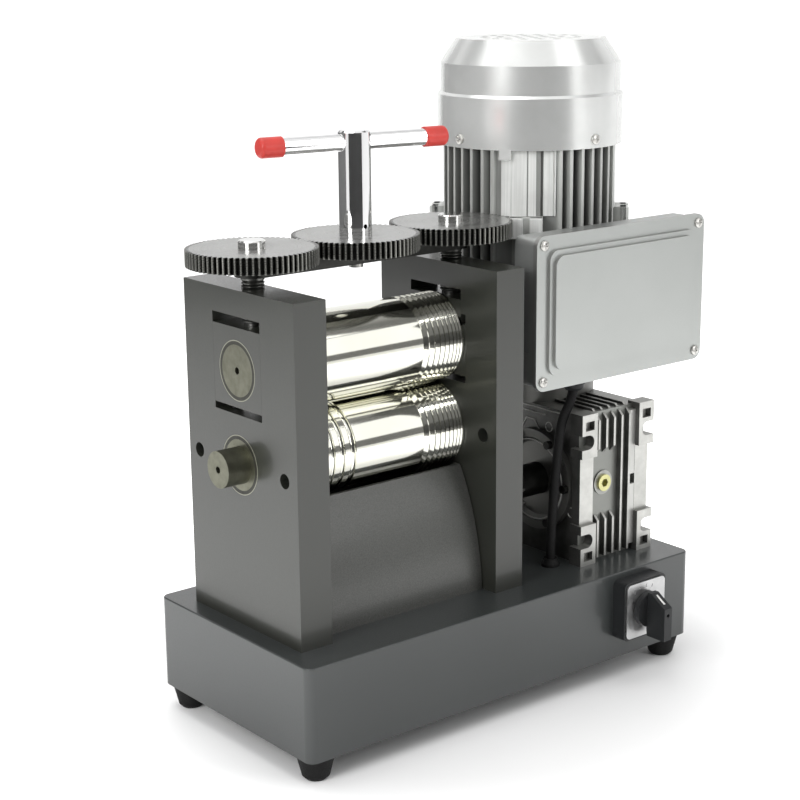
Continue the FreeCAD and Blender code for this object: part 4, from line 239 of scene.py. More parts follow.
def wrinkle_paint():
    """Fine-grained satin paint on bent sheet."""
    shader = Shader("wrinkle_paint", (0.055, 0.056, 0.052), 0.15, 0.34,
                    Coat_Weight=0.25, Coat_Roughness=0.2)
    grain = shader.noise(1500, 4, 0.65)
    shader.bump(shader.noise(520, 2), 0.00022, 0.35)
    shader.bump(grain, 0.00012, 0.6)
    spots = shader.span(grain, 0.35, 0.7)
    shader.colour(shader.mix(spots, (0.05, 0.051, 0.047), (0.095, 0.096, 0.089)))
    shader.rough(shader.span(shader.noise(600, 2), LOW, HIGH, 0.3, 0.44))
    return shader.material


ROLLER_SHAFT_EDGE = (0.0215, 0.0225)
SHAFT_ROUGHNESS = 0.34
GRINDING_MARKS = (5200, 14, 14)


def polished_roller(name, centre):
    """Ground and polished tool steel, with an oiled shaft end."""
    shader = Shader(name, (0.83, 0.82, 0.76), 1.0, 0.1)
    body = shader.span(shader.radius_from(centre, "X"), *ROLLER_SHAFT_EDGE)
    lines = shader.noise(1, 6, 0.7, shader.scaled(GRINDING_MARKS))
    polish = shader.span(lines, 0.25, 0.75, 0.06, 0.12)
    shader.rough(shader.math("ADD", polish, shader.span(body, 1, 0, 0, SHAFT_ROUGHNESS)))
    shader.bump(lines, 0.00001, 0.3)
    haze = shader.span(shader.noise(24, 4), 0.35, 0.7)
    bright = shader.mix(haze, (0.83, 0.825, 0.745), (0.76, 0.755, 0.675))
    stain = shader.span(shader.noise(160, 4), STAIN_LOW, STAIN_HIGH)
    oiled = shader.mix(stain, (0.2, 0.2, 0.155), (0.14, 0.14, 0.105))
    shader.colour(shader.mix(body, oiled, bright))
    return shader.material


def rings_about(shader, centre, axis, spacing):
    """Fine turning marks round an axis."""
    combine = shader.node("CombineXYZ")
    for slot, place in enumerate((shader.radius_from(centre, axis), shader.along(axis))):
        shader.link(shader.math("MULTIPLY", place, spacing), combine.inputs[slot])
    return shader.noise(1, 3, 0.6, combine.outputs[0])


TURNED_SPACING = 2600.0
GEAR_SPACING = 1900.0


def turned_steel(name, colour, centre, axis, roughness):
    """Bare steel with turning rings round an axis."""
    shader = Shader(name, colour, 1.0, roughness)
    rings = rings_about(shader, centre, axis, TURNED_SPACING)
    shader.rough(shader.span(rings, LOW, HIGH, roughness * 0.75, roughness * 1.3))
    shader.bump(rings, 0.00002, 0.4)
    stain = shader.span(shader.noise(60, 4), STAIN_LOW, STAIN_HIGH)
    shader.colour(shader.mix(stain, colour, times(colour, 0.75)))
    return shader.material


# Radius and reach of the painted highlight ring on the bushes.
BUSH_RIM = 0.02085
BUSH_RIM_REACH = 0.0006


def bush_steel(name, centre):
    """An oiled bush, with a painted highlight on the edge of its bore's chamfer."""
    shader = Shader(name, (0.16, 0.16, 0.125), 0.5, 0.4)
    radius = shader.radius_from(centre, "X")
    # Painted highlight: a thin ring at the chamfer's edge is painted pale.
    painted_rim_highlight = shader.near(radius, BUSH_RIM, BUSH_RIM_REACH)
    stain = shader.span(shader.noise(140, 4), STAIN_LOW, STAIN_HIGH)
    oiled = shader.mix(stain, (0.045, 0.045, 0.036), (0.03, 0.03, 0.024))
    shader.colour(shader.mix(painted_rim_highlight, oiled, (0.36, 0.36, 0.29)))
    shader.rough(shader.span(shader.noise(700, 3), LOW, HIGH, 0.42, 0.56))
    return shader.material


GEAR_FACE_EDGE = (0.0424, 0.0448)
GEAR_TOOTH_TIP = (0.0436, 0.0449)


def gear_steel(name, centre):
    """A spur gear: turned face, paler towards its rim, with painted shade in the gaps between the
    teeth, darkest at the roots.
    """
    shader = Shader(name, (0.3, 0.3, 0.29), 0.75, 0.4)
    toward = shader.math("ABSOLUTE", shader.facing("Z"))
    radius = shader.radius_from(centre, "Z")
    rings = rings_about(shader, centre, "Z", GEAR_SPACING)
    worn = shader.noise(45, 5)
    face = shader.mix(shader.span(rings, LOW, HIGH), (0.235, 0.235, 0.228), (0.325, 0.325, 0.315))
    face = shader.mix(shader.span(worn, 0.45, 0.8, 0, 0.55), face, (0.15, 0.15, 0.14))
    edge = shader.span(radius, *GEAR_FACE_EDGE)
    face = shader.mix(shader.math("MULTIPLY", edge, 0.55), face, (0.5, 0.5, 0.48))
    # Painted shade: the tooth flanks darken from the tips to near-black roots, where shade falls
    # between the teeth.
    tip = shader.span(radius, *GEAR_TOOTH_TIP)
    painted_flank_shade = shader.mix(tip, (0.009, 0.009, 0.008), (0.26, 0.26, 0.24))
    shader.colour(shader.mix(shader.span(toward, 0.6, 0.9), painted_flank_shade, face))
    shader.rough(shader.span(rings, 0.25, 0.75, 0.2, 0.34))
    shader.bump(rings, 0.00002, 0.4)
    return shader.material


def cast_aluminium(name, colour, roughness, grain, metallic=0.85):
    """Cast or painted aluminium; grain sets how coarse its skin is, from 0 to 1."""
    shader = Shader(name, colour, metallic, roughness)
    fine = shader.noise(1500, 4, 0.6)
    broad = shader.span(shader.noise(30, 4), STAIN_LOW, STAIN_HIGH)
    shader.colour(shader.mix(broad, colour, times(colour, 0.88)))
    smooth, coarse = roughness * (1 - 0.3 * grain), roughness * (1 + 0.4 * grain)
    shader.rough(shader.span(fine, LOW, HIGH, smooth, coarse))
    shader.bump(fine, 0.00005, grain)
    return shader.material


FIN_GAP_EDGE = (0.0605, 0.0695)


def finned_aluminium(centre):
    """The motor's extruded frame: pale fin edges, with painted shade in the gaps between the fins.
    """
    shader = Shader("finned_aluminium", (0.6, 0.61, 0.6), 0.15, 0.4)
    radius = shader.radius_from(centre, "Z")
    fine = shader.noise(1500, 4, 0.6)
    broad = shader.span(shader.noise(30, 4), STAIN_LOW, STAIN_HIGH)
    pale = shader.mix(broad, (0.51, 0.52, 0.5), (0.43, 0.44, 0.42))
    # Painted shade: near-black below the fins' outer edge, in the gaps between them.
    shader.colour(shader.mix(shader.span(radius, *FIN_GAP_EDGE), (0.03, 0.03, 0.028), pale))
    shader.rough(shader.span(fine, LOW, HIGH, 0.34, 0.48))
    shader.bump(fine, 0.00005, 0.5)
    return shader.material


PANEL_REACH = 0.0022


def worm_casting(panel_y):
    """The gearbox: pale machined ribs and lugs, with painted shade on the panels behind them, on
    its upward faces and on its left side.
    """
    shader = Shader("worm_casting", (0.6, 0.6, 0.58), 0.75, 0.4)
    fine = shader.noise(1300, 4, 0.6)
    grime = shader.noise(55, 5, 0.6)
    pale = shader.mix(shader.span(grime, 0.35, 0.7), (0.55, 0.55, 0.525), (0.41, 0.41, 0.39))
    # Painted shade on the panels set back behind the ribs and lugs.
    behind = shader.near(shader.along("Y"), panel_y, PANEL_REACH)
    pale = shader.mix(behind, pale, (0.23, 0.235, 0.22))
    # Painted shade: faces turned upward are darker.
    upper = shader.span(shader.facing("Z"), 0.82, 0.95)
    pale = shader.mix(upper, pale, (0.28, 0.28, 0.265))
    # Painted shade on the faces turned towards the left, varied by the grime noise.
    side = shader.span(shader.facing("X"), -0.35, -0.75)
    painted_side_shade = shader.mix(
        shader.span(grime, STAIN_LOW, STAIN_HIGH), (0.1, 0.1, 0.095), (0.045, 0.045, 0.042))
    pale = shader.mix(side, pale, painted_side_shade)
    shader.colour(pale)
    shader.rough(shader.span(fine, LOW, HIGH, 0.32, 0.48))
    shader.bump(shader.noise(520, 3), 0.0001, 0.35)
    shader.bump(fine, 0.00006, 0.5)
    return shader.material


def pressed_cover():
    """The terminal box's lid: a pale satin face, with painted shade on the walls of its drawn
    steps.
    """
    shader = Shader("pressed_cover", (0.62, 0.63, 0.62), 0.8, 0.36)
    fine = shader.noise(1500, 4, 0.6)
    # Painted shade: faces turned away from the front are darker.
    painted_wall_shade = shader.span(shader.math("ABSOLUTE", shader.facing("Y")), 0.85, 0.4)
    broad = shader.span(shader.noise(18, 3), STAIN_LOW, STAIN_HIGH)
    face = shader.mix(broad, (0.41, 0.423, 0.41), (0.39, 0.403, 0.39))
    shader.colour(shader.mix(painted_wall_shade, face, (0.34, 0.34, 0.33)))
    shader.rough(shader.span(fine, LOW, HIGH, 0.3, 0.42))
    shader.bump(fine, 0.00004, 0.5)
    return shader.material


def chrome():
    """Bright chrome plate, faintly uneven."""
    shader = Shader("chrome", (0.88, 0.88, 0.88), 1.0, 0.05)
    shader.rough(shader.span(shader.noise(300, 3), LOW, HIGH, 0.03, 0.07))
    shader.bump(shader.noise(60, 2), 0.00003, 0.2)
    return shader.material


def rubber(name, colour, roughness):
    """Moulded rubber or plastic, with a fine dull skin."""
    shader = Shader(name, colour, 0.0, roughness, Specular_IOR_Level=0.3)
    fine = shader.noise(1400, 3)
    broad = shader.span(shader.noise(60, 3), LOW, HIGH)
    shader.colour(shader.mix(broad, colour, tuple(c * 0.8 + 0.002 for c in colour)))
    shader.rough(shader.span(fine, LOW, HIGH, roughness * 0.85, roughness * 1.15))
    shader.bump(fine, 0.00005, 0.5)
    return shader.material


def plated(name, colour, roughness):
    """A thin plating or a bare ground metal, with faint stains."""
    shader = Shader(name, colour, 1.0, roughness)
    cloud = shader.noise(200, 4)
    shader.rough(shader.span(cloud, LOW, HIGH, roughness * 0.75, roughness * 1.3))
    stain = shader.span(shader.noise(90, 3), 0.35, 0.7)
    shader.colour(shader.mix(stain, colour, times(colour, 0.8)))
    shader.bump(shader.noise(2200, 2), 0.00002, 0.4)
    return shader.material


SHEET_LINES = (6, 6, 2400)


def laminated(name, colour):
    """Stacked sheet: fine lines across the height."""
    shader = Shader(name, colour, 0.9, 0.5)
    lines = shader.noise(1, 2, 0.5, shader.scaled(SHEET_LINES))
    shader.colour(shader.mix(shader.span(lines, 0.4, 0.6), times(colour, 0.6), colour))
    shader.bump(lines, 0.0001, 0.4)
    return shader.material


# ---------------------------------------------------------------- places read from the nodes

def middle(node):
    """The middle of a node's box."""
    low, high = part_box(node)
    return (low + high) / 2


upper_axis = middle("upper_roller")
lower_axis = middle("lower_roller")
motor_axis = middle("fan_cowl")
cowl_low, cowl_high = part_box("fan_cowl")
gearbox_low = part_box("gearbox_housing")[0]
PANEL_BEHIND_LUGS = 0.0085


# ---------------------------------------------------------------- materials on the CAD nodes

cheek_paint = gloss_paint("cheek_paint", (0.026, 0.0275, 0.0225))
base_paint = gloss_paint("base_paint", (0.033, 0.0366, 0.0362))
guard_paint = wrinkle_paint()
zinc = plated("zinc", (0.62, 0.61, 0.58), 0.32)
black_oxide = plated("black_oxide", (0.05, 0.05, 0.047), 0.38)
bare_chrome = chrome()
motor_cast = cast_aluminium("motor_cast", (0.42, 0.43, 0.42), 0.4, 0.25, 0.6)
box_cast = cast_aluminium("box_cast", (0.4, 0.41, 0.4), 0.4, 0.3, 0.7)
shade_cast = cast_aluminium("shade_cast", (0.16, 0.16, 0.15), 0.42, 0.6)
cowl_paint = cast_aluminium("cowl_paint", (0.8, 0.81, 0.795), 0.26, 0.015, 0.68)
black_rubber = rubber("black_rubber", (0.004, 0.004, 0.004), 0.75)
red_rubber = rubber("red_rubber", (0.6, 0.055, 0.045), 0.36)
black_plastic = rubber("black_plastic", (0.015, 0.016, 0.017), 0.4)
brass = plated("brass", (0.56, 0.54, 0.27), 0.32)
ground_steel = plated("ground_steel", (0.5, 0.5, 0.5), 0.25)
laminations = laminated("laminations", (0.3, 0.3, 0.32))
satin_plate = plated("satin_plate", (0.5, 0.5, 0.5), 0.34)

LOOKS = {
    "base_housing": base_paint, "base_plate": base_paint, "left_cheek": cheek_paint,
    "right_cheek": cheek_paint, "roller_chocks": cheek_paint, "front_guard": guard_paint,
    "rear_guard": guard_paint,
    "upper_roller": polished_roller("upper_roller_steel", upper_axis),
    "lower_roller": polished_roller("lower_roller_steel", lower_axis),
    "upper_bushes": bush_steel("upper_bush_steel", upper_axis),
    "lower_bushes": bush_steel("lower_bush_steel", lower_axis),
    "rubber_feet": black_rubber, "base_grommets": black_rubber, "motor_cable": black_rubber,
    "cable_gland": black_plastic, "terminal_gasket": black_rubber, "cooling_fan": black_plastic,
    "switch_body": black_plastic, "switch_knob": black_plastic, "switch_plate": satin_plate,
    "foot_screws": zinc, "frame_screws": zinc, "guard_screws": zinc, "cover_bolts": black_oxide,
    "flange_bolts": zinc, "cowl_screws": zinc, "terminal_cover_screws": zinc,
    "strap_retainer": zinc, "handle_post": bare_chrome, "handle_bar": bare_chrome,
    "handle_grips": red_rubber,
    "gearbox_housing": worm_casting(gearbox_low.y + PANEL_BEHIND_LUGS),
    "motor_adapter": shade_cast, "motor_drive_shield": motor_cast,
    "motor_frame": finned_aluminium(motor_axis), "motor_rear_shield": motor_cast,
    "terminal_box": box_cast, "terminal_cover": pressed_cover(), "fan_cowl": cowl_paint,
    "oil_plug": brass, "worm_wheel": brass, "worm": ground_steel, "output_bearings": ground_steel,
    "shaft_bearings": ground_steel, "lift_springs": ground_steel, "stator": laminations,
    "motor_rotor": laminations, "output_cover": shade_cast, "output_shaft": black_oxide,
    "drive_pinion": black_oxide, "upper_roller_gear": black_oxide, "lower_roller_gear": black_oxide,
    "link_strap": black_oxide,
    "centre_gear": gear_steel("centre_gear_steel", middle("centre_gear")),
}
for side in ("left", "right"):
    centre = middle(f"{side}_adjusting_gear")
    LOOKS[f"{side}_adjusting_gear"] = gear_steel(f"{side}_gear_steel", centre)
    LOOKS[f"{side}_adjusting_screw"] = turned_steel(
        f"{side}_screw_steel", (0.2, 0.2, 0.19), centre, "Z", 0.32)
    LOOKS[f"{side}_cap_nut"] = turned_steel(
        f"{side}_cap_steel", (0.8, 0.8, 0.78), centre, "Z", 0.16)

SOFT_EDGES = {
    "base_housing": 0.9, "left_cheek": 0.9, "right_cheek": 0.9, "roller_chocks": 0.35,
    "gearbox_housing": 0.6, "terminal_cover": 1.0, "terminal_box": 0.8, "motor_frame": 0.4,
    "motor_adapter": 0.6, "motor_drive_shield": 0.8, "fan_cowl": 1.5, "switch_body": 0.6,
    "switch_knob": 0.6, "switch_plate": 0.3, "link_strap": 0.5, "handle_post": 0.5,
    "left_cap_nut": 0.4, "right_cap_nut": 0.4, "handle_bar": 0.6, "oil_plug": 0.4,
    "output_cover": 0.5, "front_guard": 0.4, "rear_guard": 0.4,
}
EDGE_SEGMENTS = 2
NODE_EDGE_ANGLE = 35
PIECE_EDGE_ANGLE = 30


def soften(target, width, angle):
    """A fine bevel, its width in millimetres, on the edges sharper than an angle."""
    edge = target.modifiers.new("soft_edge", "BEVEL")
    edge.width = width * MM
    edge.segments = EDGE_SEGMENTS
    edge.limit_method = "ANGLE"
    edge.angle_limit = math.radians(angle)
    edge.harden_normals = True


for name, node in NODES.items():
    look = LOOKS[name]
    if not node.material_slots:
        node.data.materials.append(look)
    for slot in node.material_slots:
        slot.material = look
    if name in SOFT_EDGES:
        soften(node, SOFT_EDGES[name], NODE_EDGE_ANGLE)


# ---------------------------------------------------------------- pieces made here

def frame_of(direction):
    """A turn that takes Z to a direction."""
    return Vector(direction).to_track_quat("Z", "Y").to_matrix().to_4x4()


def piece_of(name, mesh_code, look, body, *replaced, slot=None):
    """An object on a body, its mesh filled by a function, in place of the nodes it replaces."""
    mesh = bpy.data.meshes.new(name)
    work = bmesh.new()
    mesh_code(work)
    bmesh.ops.recalc_face_normals(work, faces=work.faces)
    work.to_mesh(mesh)
    work.free()
    mesh.shade_smooth()
    made = bpy.data.objects.new(name, mesh)
    bpy.context.scene.collection.objects.link(made)
    mesh.materials.append(look)
    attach(made, body)
    if replaced:
        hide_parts(*replaced)
    return made


def ring_angles(count):
    """Angles spread evenly round a circle."""
    return [2 * math.pi * step / count for step in range(count)]


PAN_RINGS = 14
PAN_SIDES = 48
SLOT_HALF_WIDTH, SLOT_REACH, SLOT_DEPTH = 0.15, 0.62, 0.55
DOME_FALL = 0.72


def add_pan_head(work, seat, direction, radius, height, shank_radius, shank_length):
    """A pan-head screw with a cross recess, on its seat and facing a direction."""
    turn = Matrix.Translation(Vector(seat)) @ frame_of(direction)
    bar, reach, deep = radius * SLOT_HALF_WIDTH, radius * SLOT_REACH, height * SLOT_DEPTH

    def crown(x, y):
        away = math.hypot(x, y)
        dome = height * math.sqrt(max(0.0, 1 - (away / radius) ** 2 * DOME_FALL))
        arm = min(abs(x), abs(y)) < bar and max(abs(x), abs(y)) < reach
        return dome - (deep if arm else 0)

    loops = []
    for ring in range(1, PAN_RINGS + 1):
        away = radius * ring / PAN_RINGS
        loops.append([
            (away * math.cos(turned), away * math.sin(turned))
            for turned in ring_angles(PAN_SIDES)
        ])
    rows = [
        [work.verts.new(turn @ Vector((x, y, crown(x, y)))) for x, y in loop]
        for loop in loops
    ]
    for away, level in ((radius, 0.0), (shank_radius, 0.0), (shank_radius, -shank_length)):
        rows.append([
            work.verts.new(turn @ Vector((away * math.cos(turned), away * math.sin(turned), level)))
            for turned in ring_angles(PAN_SIDES)
        ])
    top = work.verts.new(turn @ Vector((0, 0, crown(0, 0))))
    for side in range(PAN_SIDES):
        after = (side + 1) % PAN_SIDES
        work.faces.new((top, rows[0][side], rows[0][after]))
        for first, second in zip(rows, rows[1:]):
            work.faces.new((first[side], second[side], second[after], first[after]))
    work.faces.new(rows[-1])


BEAD_SIDES = 8


def add_bead(work, points, radius, closed=False):
    """A round bead along points, in metres."""
    points = [Vector(point) for point in points]
    count = len(points)
    loops = []
    for number, point in enumerate(points):
        if closed:
            ahead = points[(number + 1) % count] - points[number - 1]
        else:
            ahead = points[min(number + 1, count - 1)] - points[max(number - 1, 0)]
        turn = frame_of(ahead)
        loops.append([
            work.verts.new(
                point + turn @ Vector((radius * math.cos(angle), radius * math.sin(angle), 0)))
            for angle in ring_angles(BEAD_SIDES)
        ])
    following = loops[1:] + loops[:1] if closed else loops[1:]
    for first, second in zip(loops, following):
        for side in range(BEAD_SIDES):
            after = (side + 1) % BEAD_SIDES
            work.faces.new((first[side], first[after], second[after], second[side]))
    if not closed:
        work.faces.new(loops[0])
        work.faces.new(loops[-1])


def add_prism(work, lower, upper):
    """A closed prism between two outlines with the same number of corners."""
    bottom = [work.verts.new(corner) for corner in lower]
    top = [work.verts.new(corner) for corner in upper]
    for first in range(len(bottom)):
        second = (first + 1) % len(bottom)
        work.faces.new((bottom[first], bottom[second], top[second], top[first]))
    work.faces.new(bottom)
    work.faces.new(top)


def add_profile(work, outline, low, high, place):
    """A prism: an outline in a plane, run from low to high, then put in place."""
    add_prism(work, *(
        [place @ Vector((across, out, level)) for across, out in outline] for level in (low, high)))


def add_relief(work, columns, rows, depth_of, back):
    """A plate facing -Y, made of cells of different depth with upright walls between them."""
    def face(corners):
        work.faces.new([work.verts.new(corner) for corner in corners])

    def depth(column, row):
        inside = 0 <= column < len(columns) - 1 and 0 <= row < len(rows) - 1
        return depth_of(column, row) if inside else back

    for column, (left, right) in enumerate(zip(columns, columns[1:])):
        for row, (low, high) in enumerate(zip(rows, rows[1:])):
            y = depth(column, row)
            face(((left, y, low), (right, y, low), (right, y, high), (left, y, high)))
            for step, x in ((-1, left), (1, right)):
                beside = depth(column + step, row)
                if beside > y:
                    face(((x, y, low), (x, y, high), (x, beside, high), (x, beside, low)))
            for step, z in ((-1, low), (1, high)):
                beside = depth(column, row + step)
                if beside > y:
                    face(((left, y, z), (right, y, z), (right, beside, z), (left, beside, z)))


# Cross-recess screws on the fan cowl and the terminal box.
SCREW_HEAD = 3.8 * MM
SCREW_RISE = 2.2 * MM
SCREW_SHANK = 1.8 * MM
SCREW_REACH = 6.0 * MM
CAD_HEAD_RISE = 2.6 * MM
CAD_HEAD_RADIUS = 4.2 * MM


def cowl_heads(work):
    reach = (cowl_high.x - cowl_low.x) / 2
    level = middle("cowl_screws").z
    for quarter in range(4):
        turned = math.radians(90 * quarter)
        outward = Vector((math.cos(turned), math.sin(turned), 0))
        seat = Vector((motor_axis.x, motor_axis.y, level)) + outward * reach
        add_pan_head(work, seat, outward, SCREW_HEAD, SCREW_RISE, SCREW_SHANK, SCREW_REACH)


def box_heads(work):
    low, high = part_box("terminal_cover_screws")
    for x in (low.x + CAD_HEAD_RADIUS, high.x - CAD_HEAD_RADIUS):
        for z in (low.z + CAD_HEAD_RADIUS, high.z - CAD_HEAD_RADIUS):
            add_pan_head(work, (x, low.y + CAD_HEAD_RISE, z), (0, -1, 0),
                         SCREW_HEAD, SCREW_RISE, SCREW_SHANK, SCREW_REACH)


piece_of("cowl_cross_screws", cowl_heads, zinc, "frame", "cowl_screws")
piece_of("box_cross_screws", box_heads, zinc, "frame", "terminal_cover_screws")

# The cast pads between the motor's fins, each with its ribs and grooves.
PAD_OUTLINE = [
    (-27.0, 55.0), (-27.0, 61.5), (-21.2, 61.5), (-21.0, 57.0), (-18.9, 57.0), (-18.7, 65.2),
    (-11.6, 66.2), (-11.2, 65.4), (0.2, 65.7), (0.5, 64.6), (1.2, 64.6), (1.5, 65.5), (7.2, 65.2),
    (7.4, 60.0), (9.0, 60.0), (9.2, 62.5), (10.8, 62.5), (11.0, 60.0), (12.3, 60.0), (12.5, 64.3),
    (19.7, 64.3), (20.0, 63.0), (20.6, 63.0), (20.8, 64.8), (21.8, 64.5), (22.0, 55.0),
]
EAR_OUTLINES = (
    [(-12.5, 70.0), (-12.5, 77.0), (-2.0, 77.0), (-2.0, 70.0)],
    [(3.0, 70.0), (3.0, 77.0), (12.5, 77.0), (12.5, 70.0)],
)
EAR_DROP = 65.0 * MM
EAR_HEIGHT = 15.5 * MM
PAD_RISE_INTO_COWL = 12.0 * MM
PAD_GROOVE_EDGE = (0.0625, 0.0642)
PAD_STREAKS = (900, 900, 12)


def pad_places():
    """The four pads' places: across the pad is X, outward is Y, both in millimetres."""
    on_axis = Matrix.Translation((motor_axis.x, motor_axis.y, 0))
    millimetres = Matrix.Diagonal((MM, MM, 1, 1))
    for quarter in range(4):
        turned = math.radians(45 + 90 * quarter)
        outward = Vector((math.cos(turned), math.sin(turned), 0))
        across = Vector((-outward.y, outward.x, 0))
        turn = Matrix((across, outward, Vector((0, 0, 1)))).transposed().to_4x4()
        yield on_axis @ turn @ millimetres


def ear_top():
    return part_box("motor_frame")[1].z - EAR_DROP


def pad_ribs(work):
    for place in pad_places():
        add_profile(work, PAD_OUTLINE, ear_top(), cowl_low.z + PAD_RISE_INTO_COWL, place)


def ear_faces(work):
    top = ear_top()
    for place in pad_places():
        for outline in EAR_OUTLINES:
            add_profile(work, outline, top - EAR_HEIGHT, top, place)


def pad_casting():
    """Painted cast aluminium with draw marks along it, with painted shade in its grooves."""
    shader = Shader("pad_casting", (0.78, 0.79, 0.77), 0.1, 0.36)
    streaks = shader.noise(1, 4, 0.6, shader.scaled(PAD_STREAKS))
    broad = shader.noise(50, 4)
    pale = shader.mix(shader.span(streaks, LOW, HIGH), (0.66, 0.67, 0.65), (0.86, 0.87, 0.85))
    pale = shader.mix(shader.span(broad, 0.5, 0.8, 0, 0.5), pale, (0.55, 0.56, 0.54))
    around = shader.radius_from(motor_axis, "Z")
    # Painted shade: near-black at smaller radii, in the pad's grooves and down its sides.
    shader.colour(shader.mix(shader.span(around, *PAD_GROOVE_EDGE), (0.03, 0.03, 0.028), pale))
    shader.rough(shader.span(streaks, LOW, HIGH, 0.28, 0.42))
    shader.bump(streaks, 0.00006, 0.5)
    return shader.material


pad_cast = pad_casting()
soften(piece_of("motor_pad_ribs", pad_ribs, pad_cast, "frame"), 0.25, PIECE_EDGE_ANGLE)
soften(piece_of("motor_ear_faces", ear_faces, pad_cast, "frame"), 0.5, PIECE_EDGE_ANGLE)

# The wide web beside the gearbox's last rib, with a core pocket in it.
WEB_COLUMNS = [135.4, 136.2, 144.4, 147.6, 151.4]
WEB_ROWS = [91.0, 139.8, 147.6, 199.0]
WEB_FACE, WEB_POCKET, WEB_EDGE, WEB_BACK = -50.6, -46.6, -49.6, -46.0
POCKET_CELL = (1, 1)
EDGE_COLUMN = 3
WELD_REACH = 1e-6


def web(work):
    def depth_of(column, row):
        if (column, row) == POCKET_CELL:
            return WEB_POCKET * MM
        return (WEB_EDGE if column == EDGE_COLUMN else WEB_FACE) * MM

    add_relief(work, [x * MM for x in WEB_COLUMNS], [z * MM for z in WEB_ROWS],
               depth_of, WEB_BACK * MM)
    bmesh.ops.remove_doubles(work, verts=work.verts, dist=WELD_REACH)


web_cast = cast_aluminium("web_cast", (0.5, 0.5, 0.48), 0.38, 0.6, 0.75)
soften(piece_of("gearbox_side_web", web, web_cast, "frame"), 0.4, PIECE_EDGE_ANGLE)

# Cast outlines on the gearbox's shaded output side.
OUTPUT_Y, OUTPUT_Z = -1.75, 143.93
COVER_FACE, CASE_FACE = 79.6, 84.6
RING_RADIUS = 31.6
RING_STEPS = 96
BOSS_STEPS = 24
RECESS = [(15.7, 182.5), (11.3, 190.3), (2.2, 190.1), (-2.3, 183.8), (-6.9, 178.4)]
BOSSES = [((-13.4, 187.0), 3.6), ((-39.0, 124.3), 3.8)]
LEDGES = [[(30.0, 199.6), (9.4, 200.3), (-0.7, 200.6), (-9.6, 200.1), (-34.0, 200.0)],
          [(30.0, 196.0), (9.4, 196.2), (-9.6, 196.0)]]
BEAD = 0.55 * MM
FINE_BEAD = 0.7 * BEAD


def output_rings(work):
    def add_circle(face, middle_y, middle_z, radius, steps, bead):
        around = [
            (face * MM, (middle_y + radius * math.cos(angle)) * MM,
             (middle_z + radius * math.sin(angle)) * MM)
            for angle in ring_angles(steps)
        ]
        add_bead(work, around, bead, closed=True)

    add_circle(COVER_FACE, OUTPUT_Y, OUTPUT_Z, RING_RADIUS, RING_STEPS, BEAD)
    add_bead(work, [(CASE_FACE * MM, y * MM, z * MM) for y, z in RECESS], BEAD)
    for (y, z), radius in BOSSES:
        add_circle(CASE_FACE, y, z, radius, BOSS_STEPS, FINE_BEAD)
    for ledge in LEDGES:
        add_bead(work, [(CASE_FACE * MM, y * MM, z * MM) for y, z in ledge], BEAD)


rim_cast = cast_aluminium("rim_cast", (0.5, 0.5, 0.48), 0.35, 0.4, 0.3)
piece_of("gearbox_output_rims", output_rings, rim_cast, "frame")

# The switch: a white index line on the knob, and plain marks on its plate.
knob_low, knob_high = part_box("switch_knob")
plate_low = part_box("switch_plate")[0]
KNOB_DISC = 17.5
CHAMFER_START, CHAMFER_FALL = 3.5, 9.0
LINE_SPAN = (0.14, 0.72)
LINE_HALF_WIDTH, LINE_LIFT, LINE_SINK = 0.9, 0.12, 0.4
MARK_ANGLES = (-42, -21, 0, 21)
MARK_RADIUS, MARK_LENGTH, MARK_HALF_WIDTH = 16.6, 2.6, 0.35
MARK_LIFT, MARK_SINK = 0.05, 0.3


def index_line(work):
    top = Vector((
        (knob_low.x + knob_high.x) / 2,
        knob_low.y + (KNOB_DISC - CHAMFER_START) * MM,
        knob_high.z,
    ))
    end = Vector((top.x, knob_low.y, knob_high.z - CHAMFER_FALL * MM))
    run = end - top
    out = Vector((0, run.z, -run.y)).normalized()
    side = Vector((LINE_HALF_WIDTH * MM, 0, 0))
    start, stop = (top + run * share for share in LINE_SPAN)
    corners = (start - side, start + side, stop + side, stop - side)
    add_prism(work, *(
        [corner + shift for corner in corners]
        for shift in (out * LINE_LIFT * MM, out * -LINE_SINK * MM)))


def plate_marks(work):
    centre = middle("switch_plate")
    centre.y = plate_low.y
    for turned in MARK_ANGLES:
        angle = math.radians(turned)
        ray = Vector((math.sin(angle), 0, math.cos(angle)))
        wide = Vector((ray.z, 0, -ray.x)) * MARK_HALF_WIDTH * MM
        near = centre + ray * MARK_RADIUS * MM
        far = centre + ray * (MARK_RADIUS + MARK_LENGTH) * MM
        corners = (near - wide, near + wide, far + wide, far - wide)
        add_prism(work, *(
            [corner + Vector((0, depth, 0)) for corner in corners]
            for depth in (-MARK_LIFT * MM, MARK_SINK * MM)))


index_white = rubber("index_white", (0.75, 0.75, 0.73), 0.4)
mark_grey = rubber("mark_grey", (0.2, 0.2, 0.2), 0.5)
piece_of("knob_index_line", index_line, index_white, "knob")
piece_of("switch_plate_marks", plate_marks, mark_grey, "frame")


# ---------------------------------------------------------------- studio

CAMERA_SIDE = Vector((-0.628, -0.778, 0))
CAMERA_RIGHT = Vector((0.778, -0.628, 0))


def heading(degrees):
    """A level direction, as an angle from the camera's side, with the right positive."""
    turned = math.radians(degrees)
    return math.cos(turned) * CAMERA_SIDE + math.sin(turned) * CAMERA_RIGHT


def stage_mesh(name, faces, material):
    """A stage object from faces, each a list of corners."""
    mesh = bpy.data.meshes.new(name)
    work = bmesh.new()
    for corners in faces:
        work.faces.new([work.verts.new(corner) for corner in corners])
    work.to_mesh(mesh)
    work.free()
    made = bpy.data.objects.new(name, mesh)
    bpy.context.scene.collection.objects.link(made)
    mesh.materials.append(material)


